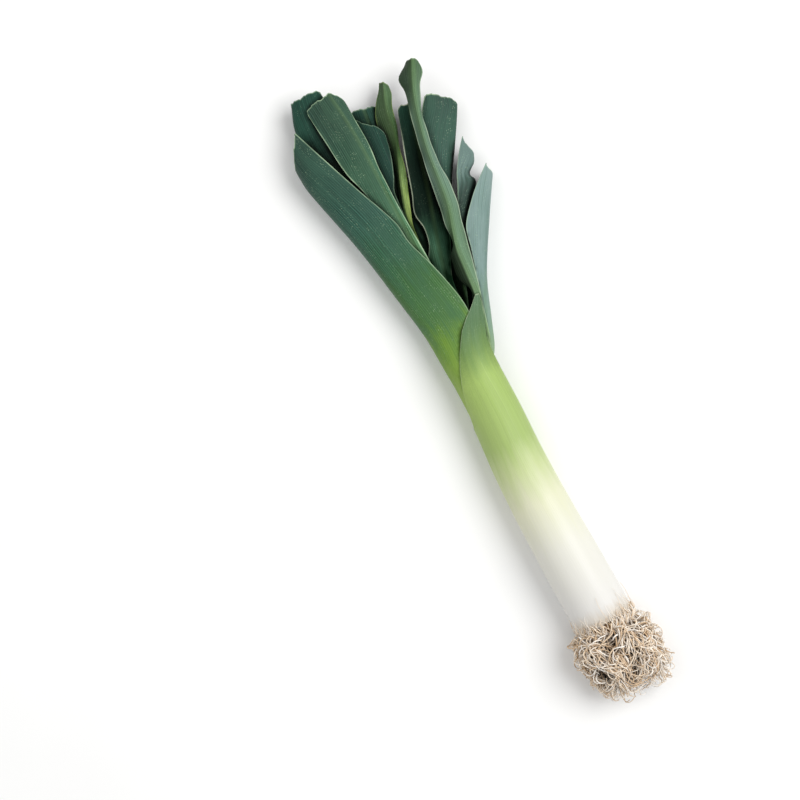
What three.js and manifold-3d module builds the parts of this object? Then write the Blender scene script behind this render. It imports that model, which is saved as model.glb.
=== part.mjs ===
// A leek with its roots, lying on its side: one tuft of roots on the basal plate and twelve leaves.
// Each leaf is one piece: a closed sheath, rolled round the younger leaves to make the white shaft,
// that opens into a folded green blade. Millimetres, +X from the roots to the leaf tips, +Y to the
// left, +Z up. The leek rests on the flat underside of its outermost sheath.
import * as THREE from 'three';
import { mergeVertices } from 'three/addons/utils/BufferGeometryUtils.js';
import Module from 'manifold-3d';

const wasm = await Module();
wasm.setup();

// Driving sizes
const LEAF_THICKNESS = 0.66;
const LEAF_PITCH = 1.25;         // from one rolled sheath to the next inside it
const FAN_PITCH = 1.14;          // from one blade's layer to the next in the fan
const FAN_HALF_HEIGHT = 14.9;    // from the middle of the fan to the outermost layer
const FACET = 18;                // degrees between the corners of the outermost sheath
const WELD = 0.01;               // corners closer than this are joined after a cut
const CLEARANCE = 0.2;           // least gap between two leaves
const TIP_BEND_START = 0.55;     // share of the blade after which its end follows the slanted cut
const DOME_RADIUS = 95;          // how gently the fan of blades is arched from side to side
const FOLD_ROUNDNESS = 2.3;      // 2 is an elliptical fold, more is fuller

// The shaft: radius and sideways bow along its length
const SHAFT_RADIUS = [
  [0, 16.9], [6, 17.9], [20, 18.3], [45, 18.1], [75, 17.4], [110, 16.6], [140, 15.9], [180, 15.6],
  [215, 15.2],
];
const SHAFT_BOW = [[0, 0], [40, 1.0], [80, 1.8], [110, 1.5], [140, 0.1], [180, -0.3], [215, -3]];
const SHAFT_END = 180;

// The fan: where the sheaths open, where the round section turns into flat layers, and how it lies
const OPENING = [76, 166];
const SIDEWAYS_MORPH = [158, 176];
const UP_DOWN_MORPH = [162, 208];
const LOBE_MORPH = [166, 196];
const SETTLING = [178, 225];     // over this length the fan sags and its right side droops
const FAN_DROOP = 0.062;         // slope of the right side of the fan down to the surface
const DROOP_FROM = -8;
const FAN_SAG = 1.3;             // how far the middle of the fan lies below the shaft's
const FAN_CENTRE = [[160, 0], [200, -3], [260, -12], [340, -15]];
const CREST_SHARPNESS = 1.3;

// Leaves from the outermost to the innermost. fold says where the keel lies: 'left' and 'right'
// blades are folded round that side of the fan, 'top' blades lie open on it. keelAngle is the keel's
// place round the shaft (0 left, 90 up, 180 right). closed and open are the two arms' reach round
// the shaft in degrees, before and after the sheath opens. keel, first and second are lines [x, y]
// in plan: the keel and the two margins. crest is how far the keel stands above the blade. The
// 'lobe' leaf is all sheath, closed all round, and its rim [angle, x] is drawn out into a lobe that
// leans aside.
const LEAVES = [
  {
    name: 'front_leaf', fold: 'lobe', keelAngle: 99, closed: [90, 270], colour: 0xa9c27a,
    rim: [[9, 138], [40, 160], [67, 181], [80, 195], [99, 204], [115, 211], [140, 198], [152, 184],
      [165, 171], [185, 158], [270, 148], [369, 138]],
    lean: [[165, 0], [172, -0.4], [183, -2.2], [196, -7], [211, -15]],
  },
  {
    name: 'left_broad_leaf', fold: 'left', keelAngle: 0, closed: [180, 180], open: [125, 100],
    colour: 0x3f6b52,
    keel: [[165, 14.3], [186, 15.0], [202, 15.9], [227, 19.9], [267, 26.8], [312, 37.3], [323, 38.2]],
    first: [[165, -9], [206, -14.0], [236, -8.2], [256, -1.9], [270, -0.2], [299, 11.0], [330, 22.4],
      [346, 28.2]],
    second: [[165, -2], [206, -3], [260, 4], [299, 14], [330, 24], [334, 26]],
  },
  {
    name: 'long_folded_leaf', fold: 'top', keelAngle: 150, closed: [180, 180], open: [42, 20],
    colour: 0x5d8a4e,
    keel: [[165, -11.4], [173, -12.8], [184, -17.4], [202, -21.8], [228, -27.6], [266, -33.6],
      [302, -37.2], [332, -45], [354, -54.5]],
    first: [[165, -4.5], [173, -9], [184, -14.8], [197, -19.3], [213, -22.7], [259, -26.5],
      [300, -32.5], [332, -40.4], [344, -42.4], [351, -50.6]],
    second: [[165, -12.7], [173, -13.6], [184, -18.1], [202, -23.4], [228, -30.2], [248, -34.4],
      [266, -39.0], [302, -41.0], [323, -45.8], [349, -58.0]],
    crest: [[205, 0], [235, 2.2], [290, 3.4], [354, 2.4]],
  },
  {
    name: 'right_pointed_leaf', fold: 'right', keelAngle: 192, closed: [180, 180], open: [100, 90],
    colour: 0x8fa79b,
    keel: [[165, -11.8], [172, -15], [179, -18.8], [194, -24.6], [218, -34.4], [248, -52.2],
      [270, -66.0]],
    first: [[165, 0], [200, -10], [230, -22], [249, -34.3], [261, -46.4], [270, -55.5],
      [276, -64.5]],
    second: [[165, -2], [200, -12], [230, -24], [249, -37], [261, -49], [270, -58], [273, -62.5]],
  },
  {
    name: 'second_broad_leaf', fold: 'top', keelAngle: 80, closed: [180, 180], open: [55, 50],
    colour: 0x35604a,
    keel: [[165, 1], [200, -2], [250, -3.5], [300, -3.4], [322, -3.4], [341, -2.4], [357, -0.7]],
    first: [[165, 8.5], [230, 6], [270, 7], [292, 7.6], [310, 12.4], [330, 14.4], [355, 16.5]],
    second: [[165, -8], [200, -8], [246, -7.4], [276, -6.4], [303, -6.6], [320, -7.9], [352, -6.9]],
    crest: [[285, 0], [310, 1.2], [357, 2.2]],
  },
  {
    name: 'curled_leaf', fold: 'right', keelAngle: 180, closed: [180, 180], open: [90, 80],
    colour: 0x4a7468,
    keel: [[165, -8.5], [180, -11.5], [200, -17.5], [240, -33], [265, -47], [281, -58.6],
      [286, -61.6]],
    first: [[165, 0], [200, -5], [240, -18], [274, -38], [291, -54], [298, -59.8]],
    second: [[165, -1], [200, -9], [240, -24], [274, -44], [290, -57]],
  },
  {
    name: 'back_left_leaf', fold: 'left', keelAngle: 0, closed: [180, 180], open: [90, 80],
    colour: 0x2c5243,
    keel: [[165, 7.6], [200, 8.5], [240, 14], [300, 24.5], [330, 28], [348, 27.3], [363, 21.9]],
    first: [[165, 0], [200, 0], [240, 0], [300, 0], [363, 3.4]],
    second: [[165, 0], [200, 1], [240, 4], [300, 8], [358, 8]],
  },
  {
    name: 'upright_right_leaf', fold: 'right', keelAngle: 180, closed: [180, 180], open: [90, 80],
    colour: 0x3c6a5c,
    keel: [[165, -6.3], [200, -12.3], [240, -25.5], [276, -41.4], [293, -52.2], [309, -62.2],
      [317, -66.8]],
    first: [[165, 0], [200, -5], [240, -13], [280, -27], [320, -44], [330, -52.2]],
    second: [[165, 0], [200, -5], [240, -15], [280, -31], [320, -52]],
  },
  {
    name: 'middle_leaf', fold: 'top', keelAngle: 90, closed: [180, 180], open: [50, 50],
    colour: 0x2f5a48,
    keel: [[165, 0], [220, -1], [290, -3], [336, -8]],
    first: [[165, 4], [220, 5], [290, 8], [340, 6]],
    second: [[165, -4], [220, -5], [286, -8.2], [296, -12.5], [307, -16.6], [324, -20.4]],
  },
  {
    name: 'inner_dark_leaf', fold: 'top', keelAngle: 90, closed: [180, 180], open: [50, 50],
    colour: 0x24483c,
    keel: [[165, -1.5], [200, -6], [240, -15], [280, -27], [331, -41]],
    first: [[165, 3], [220, -3], [242, -7.7], [250, -12.0], [260, -13.9], [270, -12.9],
      [282, -17.2], [300, -22.8], [333, -34]],
    second: [[165, -3], [200, -10.5], [240, -21.5], [280, -35], [326, -46.5]],
  },
  {
    name: 'narrow_pale_leaf', fold: 'top', keelAngle: 90, closed: [180, 180], open: [50, 50],
    colour: 0x86a24a,
    keel: [[165, -0.5], [220, -4], [268, -8.6], [301, -17.6], [335, -29.4], [349, -33.4]],
    first: [[165, 2], [220, -1.5], [268, -6.2], [289, -11.6], [308, -18.2], [332, -25.6], [348, -30.4]],
    second: [[165, -2], [220, -6.5], [268, -10.8], [301, -20.2], [335, -32.2], [346, -35.0]],
    crest: [[262, 0], [285, 2.4], [349, 3.6]],
  },
  {
    name: 'heart_leaf', fold: 'top', keelAngle: 90, closed: [180, 180], open: [50, 50],
    colour: 0x234a3a,
    keel: [[165, 0], [220, -2], [280, -7], [341, -15.4]],
    first: [[165, 1], [220, 4], [280, 6], [344, 0]],
    second: [[165, -1], [220, -9], [280, -18], [339, -23.5]],
  },
];

// How finely the leaves are faceted
const SHEATH_STATIONS = [1.2, 9, 36, OPENING[0]];
const THROAT_STATIONS = [88, 100, 112, 124, 136, 148, 160, 172, 184, 196, 208];
const RIM_STATIONS = [88, 100, 112, 124];
const RIM_STEPS = 6;
const FLATTEST_FACET = 0.3;      // how far a facet of an inner sheath falls inside its circle
const BLADE_STEP = 18;
const SMALL_LEAF = 7;            // leaves from this one inwards have half as many lines at the throat

// The roots
const ROOT_SEED = 2;
const ROOT_COUNT = 80;
const ROOT_WIDTH = 1.25;
const ROOT_STEPS = 6;
const ROOT_SIDES = 3;
const ROOT_COLOUR = 0xd6bb8c;
const PLATE_RADIUS = 15.2;
const CORE_RADIUS = 14.2;
const CORE_LENGTH = 17;
const ROOT_LENGTH = [19, 40];
const ROOT_LEAN = [0.1, 1.05];   // sideways for each step ahead, in the middle and at the rim
const ROOT_WAVE = [0.8, 2.6];
const ROOT_TURNS = [0.8, 1.7];
const ROOT_SINK = 3;             // how far a root's tip hangs below its straight line

// Small helpers
const mix = (a, b, t) => a + (b - a) * t;
const clamp = (value, low, high) => Math.min(high, Math.max(low, value));
const radians = THREE.MathUtils.degToRad;

function smooth(value, from, to) {
  const t = clamp((value - from) / (to - from), 0, 1);
  return t * t * (3 - 2 * t);
}

// A smooth line through points [x, y], read at x. It holds its end values past its ends.
function along(points, x) {
  const last = points.length - 1;
  if (x <= points[0][0]) return points[0][1];
  if (x >= points[last][0]) return points[last][1];
  const i = points.findIndex((point) => point[0] >= x) - 1;
  const slope = (j) => {
    const before = points[Math.max(j - 1, 0)];
    const after = points[Math.min(j + 1, last)];
    return (after[1] - before[1]) / (after[0] - before[0]);
  };
  const span = points[i + 1][0] - points[i][0];
  const t = (x - points[i][0]) / span;
  const rise = points[i + 1][1] - points[i][1];
  const a = slope(i) * span - rise;
  const b = rise - slope(i + 1) * span;
  return mix(points[i][1], points[i + 1][1], t) + t * (1 - t) * (a * (1 - t) + b * t);
}

const shaftRadius = (x) => along(SHAFT_RADIUS, x);
const axisHeight = (x) => shaftRadius(Math.min(x, SHAFT_END)) * Math.cos(radians(FACET / 2))
  - FAN_SAG * smooth(x, ...SETTLING);
const lastX = (line) => line[line.length - 1][0];

// The middle surface of a leaf at x, on one arm (side 0 is first, 1 is second) at reach u: 0 at the
// keel and 1 at the margin. It blends the rolled sheath into the blade's layer of the fan.
function leafPoint(leaf, order, x, side, u) {
  const sheath = shaftRadius(x) - LEAF_THICKNESS / 2 - order * LEAF_PITCH;
  const lobe = leaf.fold === 'lobe';
  const opened = lobe ? 0 : clamp((x - OPENING[0]) / (OPENING[1] - OPENING[0]), 0, 1);
  const reach = mix(leaf.closed[side], lobe ? 0 : leaf.open[side], opened) * u;
  const turn = (leaf.fold === 'left') === (side === 0) ? 1 : -1;
  const angle = radians(leaf.keelAngle + turn * reach);
  const ringY = along(SHAFT_BOW, x) + sheath * Math.cos(angle);
  const ringZ = sheath * Math.sin(angle);

  const layer = FAN_HALF_HEIGHT - order * FAN_PITCH;
  const keelY = lobe ? 0 : along(leaf.keel, x);
  const marginY = lobe ? 0 : along(side === 0 ? leaf.first : leaf.second, x);
  let y;
  let z;
  if (lobe) {
    y = ringY + along(leaf.lean, x);
    z = layer;
  } else if (leaf.fold === 'top') {
    y = mix(keelY, marginY, u);
    z = layer + (leaf.crest ? along(leaf.crest, x) * (1 - u) ** CREST_SHARPNESS : 0);
  } else {
    const swing = u * Math.PI / 2;
    const bulge = 2 / FOLD_ROUNDNESS;
    y = mix(marginY, keelY, Math.cos(swing) ** bulge);
    z = layer * Math.sin(swing) ** bulge * (side === 0 ? 1 : -1);
  }
  const fromCentre = (y - along(FAN_CENTRE, x)) / DOME_RADIUS;
  z *= Math.sqrt(1 - fromCentre * fromCentre);
  const upDown = smooth(x, ...(lobe ? LOBE_MORPH : UP_DOWN_MORPH));
  const across = mix(ringY, y, smooth(x, ...SIDEWAYS_MORPH));
  const droop = FAN_DROOP * Math.max(0, DROOP_FROM - across) * smooth(x, ...SETTLING);
  return new THREE.Vector3(x, across, axisHeight(x) + mix(ringZ, z, upDown) - droop);
}

// Where the grid lines of a blade cross its length: few along the straight sheath, more above it
function bladeStations(leaf, order) {
  const tip = lastX(leaf.keel);
  const start = THROAT_STATIONS[THROAT_STATIONS.length - 1];
  const steps = Math.max(1, Math.round((tip - start) / BLADE_STEP));
  const blade = Array.from({ length: steps }, (_, i) => mix(start, tip, (i + 1) / steps));
  const throat = THROAT_STATIONS.filter((_, i) => order < SMALL_LEAF || i % 2 === 0);
  return [...SHEATH_STATIONS, ...throat, ...blade];
}

// A blade's grid of points. Near the tip its lines lean to follow the slanted cut.
function bladeGrid(leaf, order, columns) {
  const keelEnd = lastX(leaf.keel);
  const bendFrom = mix(OPENING[1], keelEnd, TIP_BEND_START);
  const marginEnds = [lastX(leaf.first), lastX(leaf.second)];
  return bladeStations(leaf, order).map((station) => columns.map(([side, u]) => {
    const slant = (mix(keelEnd, marginEnds[side], u) - keelEnd) * smooth(station, bendFrom, keelEnd);
    return leafPoint(leaf, order, station + slant, side, u);
  }));
}

// The lobed sheath's grid of points, whose last lines are drawn out to the rim
function lobeGrid(leaf, order, columns) {
  const straight = [...SHEATH_STATIONS, ...RIM_STATIONS];
  const start = straight[straight.length - 1];
  const rows = straight.map((x) => columns.map(([side, u]) => leafPoint(leaf, order, x, side, u)));
  for (let step = 1; step <= RIM_STEPS; step += 1) {
    rows.push(columns.map(([side, u]) => {
      const angle = leaf.keelAngle + (side === 0 ? -1 : 1) * leaf.closed[side] * u;
      return leafPoint(leaf, order, mix(start, along(leaf.rim, angle), step / RIM_STEPS), side, u);
    }));
  }
  return rows;
}

// A leaf as one closed solid: two skins, thickness apart, joined at the base, the margins and the
// tip. Up to its opening the first and last columns are the same, so the sheath is a closed tube.
function leafGeometry(leaf, order, thickness) {
  const radius = shaftRadius(100) - order * LEAF_PITCH;
  const facet = order === 0 ? radians(FACET) : 2 * Math.acos(1 - FLATTEST_FACET / radius);
  const whole = (degrees) => Math.max(4, Math.round(radians(degrees) / facet));
  const counts = [whole(leaf.closed[0]), whole(leaf.closed[1])];
  const columns = [];
  for (let i = counts[0]; i > 0; i -= 1) columns.push([0, i / counts[0]]);
  for (let i = 0; i <= counts[1]; i += 1) columns.push([1, i / counts[1]]);
  const lobe = leaf.fold === 'lobe';
  const grid = lobe ? lobeGrid(leaf, order, columns) : bladeGrid(leaf, order, columns);

  const rows = grid.length;
  const openedAt = lobe ? rows : SHEATH_STATIONS.length - 1;
  const width = columns.length;
  const closed = (row) => row <= openedAt;
  const at = (row, column) => grid[clamp(row, 0, rows - 1)][clamp(column, 0, width - 1)];
  const outer = [];
  const inner = [];
  for (let row = 0; row < rows; row += 1) {
    outer.push([]);
    inner.push([]);
    for (let column = 0; column < width; column += 1) {
      let before = at(row, column - 1);
      let after = at(row, column + 1);
      if (closed(row) && (column === 0 || column === width - 1)) {
        before = at(row, width - 2);
        after = at(row, 1);
      }
      const lengthways = at(row + 1, column).clone().sub(at(row - 1, column));
      const across = after.clone().sub(before);
      const normal = across.cross(lengthways).normalize().multiplyScalar(thickness / 2);
      const turned = leaf.fold === 'left' ? 1 : -1;
      outer[row].push(at(row, column).clone().addScaledVector(normal, turned));
      inner[row].push(at(row, column).clone().addScaledVector(normal, -turned));
    }
  }

  const positions = [...outer.flat(), ...inner.flat()].flatMap((point) => point.toArray());
  const skin = rows * width;
  const outside = (row, column) => row * width + (closed(row) && column === width - 1 ? 0 : column);
  const inside = (row, column) => skin + outside(row, column);
  const triangles = [];
  const quad = (a, b, c, d) => triangles.push(a, b, c, a, c, d);
  const margin = width - 1;
  const tip = rows - 1;
  for (let row = 0; row < tip; row += 1) {
    for (let column = 0; column < margin; column += 1) {
      const corners = [[row, column], [row + 1, column], [row + 1, column + 1], [row, column + 1]];
      quad(...corners.map((corner) => outside(...corner)));
      const [a, b, c, d] = corners.map((corner) => inside(...corner));
      triangles.push(a, c, b, a, d, c);
    }
    if (row >= openedAt) {
      quad(outside(row, 0), inside(row, 0), inside(row + 1, 0), outside(row + 1, 0));
      quad(outside(row, margin), outside(row + 1, margin), inside(row + 1, margin), inside(row, margin));
    }
  }
  for (let column = 0; column < margin; column += 1) {
    quad(outside(0, column), outside(0, column + 1), inside(0, column + 1), inside(0, column));
    quad(outside(tip, column), inside(tip, column), inside(tip, column + 1), outside(tip, column + 1));
  }
  const geometry = new THREE.BufferGeometry();
  geometry.setAttribute('position', new THREE.Float32BufferAttribute(positions, 3));
  geometry.setIndex(triangles);
  return geometry;
}

// Between three.js geometry and manifold-3d solids
function toSolid(geometry) {
  const plain = geometry.index ? geometry.toNonIndexed() : geometry.clone();
  plain.deleteAttribute('normal');
  plain.deleteAttribute('uv');
  const merged = mergeVertices(plain, 1e-5);
  const index = Uint32Array.from(merged.index.array);
  const mesh = new wasm.Mesh({
    numProp: 3, vertProperties: Float32Array.from(merged.attributes.position.array), triVerts: index,
  });
  const solid = new wasm.Manifold(mesh);
  if (solid.volume() >= 0) return solid;
  for (let i = 0; i < index.length; i += 3) [index[i], index[i + 1]] = [index[i + 1], index[i]];
  return new wasm.Manifold(new wasm.Mesh({
    numProp: 3, vertProperties: Float32Array.from(merged.attributes.position.array), triVerts: index,
  }));
}

function toGeometry(solid) {
  const mesh = solid.getMesh();
  const geometry = new THREE.BufferGeometry();
  geometry.setAttribute('position', new THREE.Float32BufferAttribute(mesh.vertProperties, 3));
  geometry.setIndex([...mesh.triVerts]);
  return geometry;
}

// The piece of a solid with the most volume: what cutting leaves beside it is dropped
const largest = (solid) => solid.decompose().reduce((a, b) => (a.volume() >= b.volume() ? a : b));

// A repeatable random number from 0 to 1
function randomFrom(seed) {
  let state = seed;
  return () => {
    state = (state * 1664525 + 1013904223) % 4294967296;
    return state / 4294967296;
  };
}

// The basal plate under the leaves, with the short stem core that the roots grow from
function rootCore() {
  const profile = [
    [0, 0], [PLATE_RADIUS * 0.86, 0], [PLATE_RADIUS, -1.6], [CORE_RADIUS, -6],
    [CORE_RADIUS * 0.8, -CORE_LENGTH * 0.75], [CORE_RADIUS * 0.4, -CORE_LENGTH],
    [0, -CORE_LENGTH - 0.6],
  ].map(([r, h]) => new THREE.Vector2(r, h));
  const geometry = new THREE.LatheGeometry(profile, 16);
  geometry.rotateZ(-Math.PI / 2);
  geometry.translate(0, along(SHAFT_BOW, 0), axisHeight(0));
  return toSolid(geometry);
}

// One root: a thin wavy strand that leaves the core and turns aside as it grows
function rootStrand(random) {
  const around = random() * 2 * Math.PI;
  const spread = Math.sqrt(random());
  const ahead = random();
  const centre = new THREE.Vector3(-1.5 - 7 * ahead, along(SHAFT_BOW, 0), axisHeight(0));
  const outwards = new THREE.Vector3(0, Math.cos(around), Math.sin(around));
  const start = centre.clone().addScaledVector(outwards, spread * CORE_RADIUS * 0.8);
  const lean = mix(...ROOT_LEAN, spread * spread) * mix(1, 0.75, ahead);
  const heading = new THREE.Vector3(-1, 0, 0).addScaledVector(outwards, lean).normalize();
  const aside = new THREE.Vector3().crossVectors(heading, outwards).normalize();
  const rise = new THREE.Vector3().crossVectors(aside, heading);
  const length = mix(...ROOT_LENGTH, random()) * mix(1, 0.9, ahead) * mix(1, 0.82, spread);
  const wave = mix(...ROOT_WAVE, random());
  const turns = mix(...ROOT_TURNS, random());
  const phase = random() * 2 * Math.PI;
  const points = [];
  for (let i = 0; i <= ROOT_STEPS; i += 1) {
    const t = i / ROOT_STEPS;
    const swing = 2 * Math.PI * turns * t + phase;
    const point = start.clone().addScaledVector(heading, length * t);
    point.addScaledVector(aside, wave * t * Math.sin(swing));
    point.addScaledVector(rise, wave * t * Math.cos(swing * 0.8));
    point.z = Math.max(point.z - ROOT_SINK * t * t, ROOT_WIDTH * 0.7 + 0.5 * t);
    points.push(point);
  }
  const section = new THREE.Shape();
  for (let i = 0; i < ROOT_SIDES; i += 1) {
    const angle = 2 * Math.PI * i / ROOT_SIDES;
    const corner = [Math.cos(angle) * ROOT_WIDTH / 2, Math.sin(angle) * ROOT_WIDTH / 2];
    if (i === 0) section.moveTo(...corner);
    else section.lineTo(...corner);
  }
  const extrudePath = new THREE.CatmullRomCurve3(points);
  const settings = { steps: ROOT_STEPS, bevelEnabled: false, extrudePath };
  return toSolid(new THREE.ExtrudeGeometry(section, settings));
}

function rootTuft() {
  const random = randomFrom(ROOT_SEED);
  const solids = [rootCore()];
  for (let i = 0; i < ROOT_COUNT; i += 1) solids.push(rootStrand(random));
  return toGeometry(largest(wasm.Manifold.union(solids)).simplify(WELD));
}

function piece(name, geometry, colour, roughness) {
  const material = new THREE.MeshStandardMaterial({ color: colour, roughness, metalness: 0 });
  const mesh = new THREE.Mesh(geometry, material);
  mesh.name = name;
  return mesh;
}

const leek = new THREE.Group();
leek.add(piece('roots', rootTuft(), ROOT_COLOUR, 0.9));

// Where two leaves would touch, the inner one is pared back to clear the outer one
const kept = [];
LEAVES.forEach((leaf, order) => {
  let solid = toSolid(leafGeometry(leaf, order, LEAF_THICKNESS));
  kept.forEach((outer) => {
    solid = solid.subtract(outer.clear).subtract(outer.solid);
  });
  solid = largest(solid).simplify(WELD);
  kept.push({ solid, clear: toSolid(leafGeometry(leaf, order, LEAF_THICKNESS + 2 * CLEARANCE)) });
  leek.add(piece(leaf.name, toGeometry(solid), leaf.colour, 0.55));
});

// Origin under the middle of the whole leek
const bounds = new THREE.Box3().setFromObject(leek);
const middle = bounds.getCenter(new THREE.Vector3());
leek.position.set(-middle.x, -middle.y, -bounds.min.z);

export default leek;
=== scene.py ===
# %% [markdown]
# # A leek, lying on its side
# A leek is a plant whose leaves are rolled one inside another at the base, which makes the white
# shaft, and open into flat folded blades at the top. The frame holds a faceted solid for each leaf
# and one for the roots. This lesson grows a finer leaf over each solid, with thin margins, folds
# and veins, and a dense tuft of roots, and gives them their finishes.

# %% Load the frame and note its box
import math

import bpy
import numpy as np
from mathutils import Matrix, Vector
from mathutils.bvhtree import BVHTree
from mathutils.kdtree import KDTree


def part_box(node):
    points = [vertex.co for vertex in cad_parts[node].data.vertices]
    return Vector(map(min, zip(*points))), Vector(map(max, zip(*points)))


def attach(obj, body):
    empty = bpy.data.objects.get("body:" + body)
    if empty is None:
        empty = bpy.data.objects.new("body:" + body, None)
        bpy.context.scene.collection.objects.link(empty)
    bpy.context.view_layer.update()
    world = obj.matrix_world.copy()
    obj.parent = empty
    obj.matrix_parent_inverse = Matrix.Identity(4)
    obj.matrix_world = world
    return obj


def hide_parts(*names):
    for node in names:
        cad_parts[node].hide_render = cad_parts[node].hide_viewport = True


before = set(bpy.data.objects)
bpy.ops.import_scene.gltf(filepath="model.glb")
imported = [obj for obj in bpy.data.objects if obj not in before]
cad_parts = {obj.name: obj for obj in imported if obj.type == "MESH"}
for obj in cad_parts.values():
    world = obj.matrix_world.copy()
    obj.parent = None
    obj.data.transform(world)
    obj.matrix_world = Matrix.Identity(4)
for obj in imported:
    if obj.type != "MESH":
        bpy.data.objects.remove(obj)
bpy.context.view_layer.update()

# One millimetre in metres, the frame's unit.
MM = 0.001
print("frame nodes:", len(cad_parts))

# %% [markdown]
# ## Smooth lines through a few points
# A plant has no straight edges, but its curves are slow ones. They could be drawn as Bezier curves
# by hand. Here each is a short list of points, and one function reads the smooth line through them
# wherever a leaf needs it. It reads whole arrays at once, which keeps the script quick.

# %% Blends and smooth lines
def mix(a, b, t):
    """From a at t = 0 to b at t = 1, in a straight line."""
    return a + (b - a) * t


TINY = 1e-9


def unit(vectors):
    """Vectors made one long, along the last axis."""
    return vectors / np.maximum(np.linalg.norm(vectors, axis=-1, keepdims=True), TINY)


def smooth(value, start, end):
    """Rises gently from 0 at start to 1 at end."""
    t = np.clip((value - start) / (end - start), 0.0, 1.0)
    return t * t * (3 - 2 * t)


def along(points, x):
    """A smooth line through points (x, y), read at x. It holds its end values past its ends."""
    px, py = np.array(points, dtype=float).T
    slope = np.empty_like(py)
    slope[1:-1] = (py[2:] - py[:-2]) / (px[2:] - px[:-2])
    slope[0] = (py[1] - py[0]) / (px[1] - px[0])
    slope[-1] = (py[-1] - py[-2]) / (px[-1] - px[-2])
    x = np.clip(np.asarray(x, dtype=float), px[0], px[-1])
    i = np.clip(np.searchsorted(px, x, side="left") - 1, 0, len(px) - 2)
    span = px[i + 1] - px[i]
    rise = py[i + 1] - py[i]
    t = (x - px[i]) / span
    lead = slope[i] * span - rise
    trail = rise - slope[i + 1] * span
    return mix(py[i], py[i + 1], t) + t * (1 - t) * (lead * (1 - t) + trail * t)


print("a quarter of the way along, a smooth step has risen to", float(smooth(2.5, 0, 10)))

# %% [markdown]
# ## Measures shared by all leaves
# The leaves were laid out in millimetres, +X from the roots to the leaf tips, +Y to the left and +Z
# up. The rolled sheaths are circles round the shaft's axis, each a fixed step inside the last. In
# the fan each blade keeps a layer of its own in the same order, so that no leaf crosses another.

# %% The shaft
LEAF_PITCH = 1.25
SHEATH_THICKNESS = 0.66
BASE_START = 1.2
SHAFT_RADIUS = [(0, 16.9), (6, 17.9), (20, 18.3), (45, 18.1), (75, 17.4), (110, 16.6), (140, 15.9),
                (180, 15.6), (215, 15.2)]
SHAFT_BOW = [(0, 0), (40, 1.0), (80, 1.8), (110, 1.5), (140, 0.1), (180, -0.3), (215, -3)]
FOOT_X = 20
THROAT_X = 180
print("shaft across at the foot and the throat, mm:",
      [round(2 * float(along(SHAFT_RADIUS, x)), 1) for x in (FOOT_X, THROAT_X)])

# %% [markdown]
# Past the throat the leaves open like a fan. The fan is as high as the shaft, sags a little under
# its own weight, and its right side hangs lowest, since no leaf holds it up there. The solids' sides
# are flat facets and the shaft lies on one of them, so its axis is a little lower than its radius.

# %% The fan of blades
FAN_PITCH = 1.14
FAN_HALF_HEIGHT = 14.9
FAN_CENTRE = [(160, 0), (200, -3), (260, -12), (340, -15)]
FAN_START = 172
FAN_OPEN = 208
DOME_RADIUS = 95
FAN_DROOP = 0.062
DROOP_FROM = -8
FAN_SAG = 1.3
SAG_RANGE = (178, 225)
FACET = 18


def axis_height(x):
    """Height of the leek's axis above the table, for the shaft lies on one flat facet."""
    shaft = along(SHAFT_RADIUS, np.minimum(x, THROAT_X)) * math.cos(math.radians(FACET / 2))
    return shaft - FAN_SAG * smooth(x, *SAG_RANGE)


print("axis above the table at the throat, mm:", round(float(axis_height(THROAT_X)), 1))

# %% [markdown]
# ## The leaves as lines
# A blade is drawn by three lines seen from above: its keel, where it folds, and its two margins.
# A blade could also be bent from a flat sheet with modifiers, but lines keep each leaf exactly
# where its solid lies. Leaves that fold round the left or right of the fan show one arm; those that
# lie open on top show both.
#
# `keel` is the keel's line, `first` and `second` are those of the two margins: of the upper and the
# lower arm where a leaf folds, of the left and the right arm where it lies open. `open_reach` is how
# far round the throat each arm reaches in degrees, `crest` lifts the keel, `curl` bends the first arm
# down, and `corner`, `shoulder` and `ragged` shape the cut tip.

# %% A list of leaves, from the outermost inwards
LEAVES = []


def add_leaf(name, finish, fold, keel_angle, open_reach=(50, 50), closed=(180, 180), **lines):
    """Notes one leaf. keel_angle is where its keel lies round the shaft, in degrees: 0 at the left, 90
    at the top. closed is how far round the shaft each arm reaches from there."""
    LEAVES.append(dict(name=name, finish=finish, fold=fold, keel_angle=keel_angle,
                       open_reach=open_reach, closed=closed, **lines))


print("leaves noted so far:", len(LEAVES))

# %% [markdown]
# The outermost leaf is only a sheath: it closes round the shaft and ends in one upright lobe at the
# throat. `rim` gives how far up it reaches at each angle round the shaft, and `lean` moves the lobe
# sideways. The two next leaves are the broad blade on the left and the long one that lies folded
# over the right side.

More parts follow.
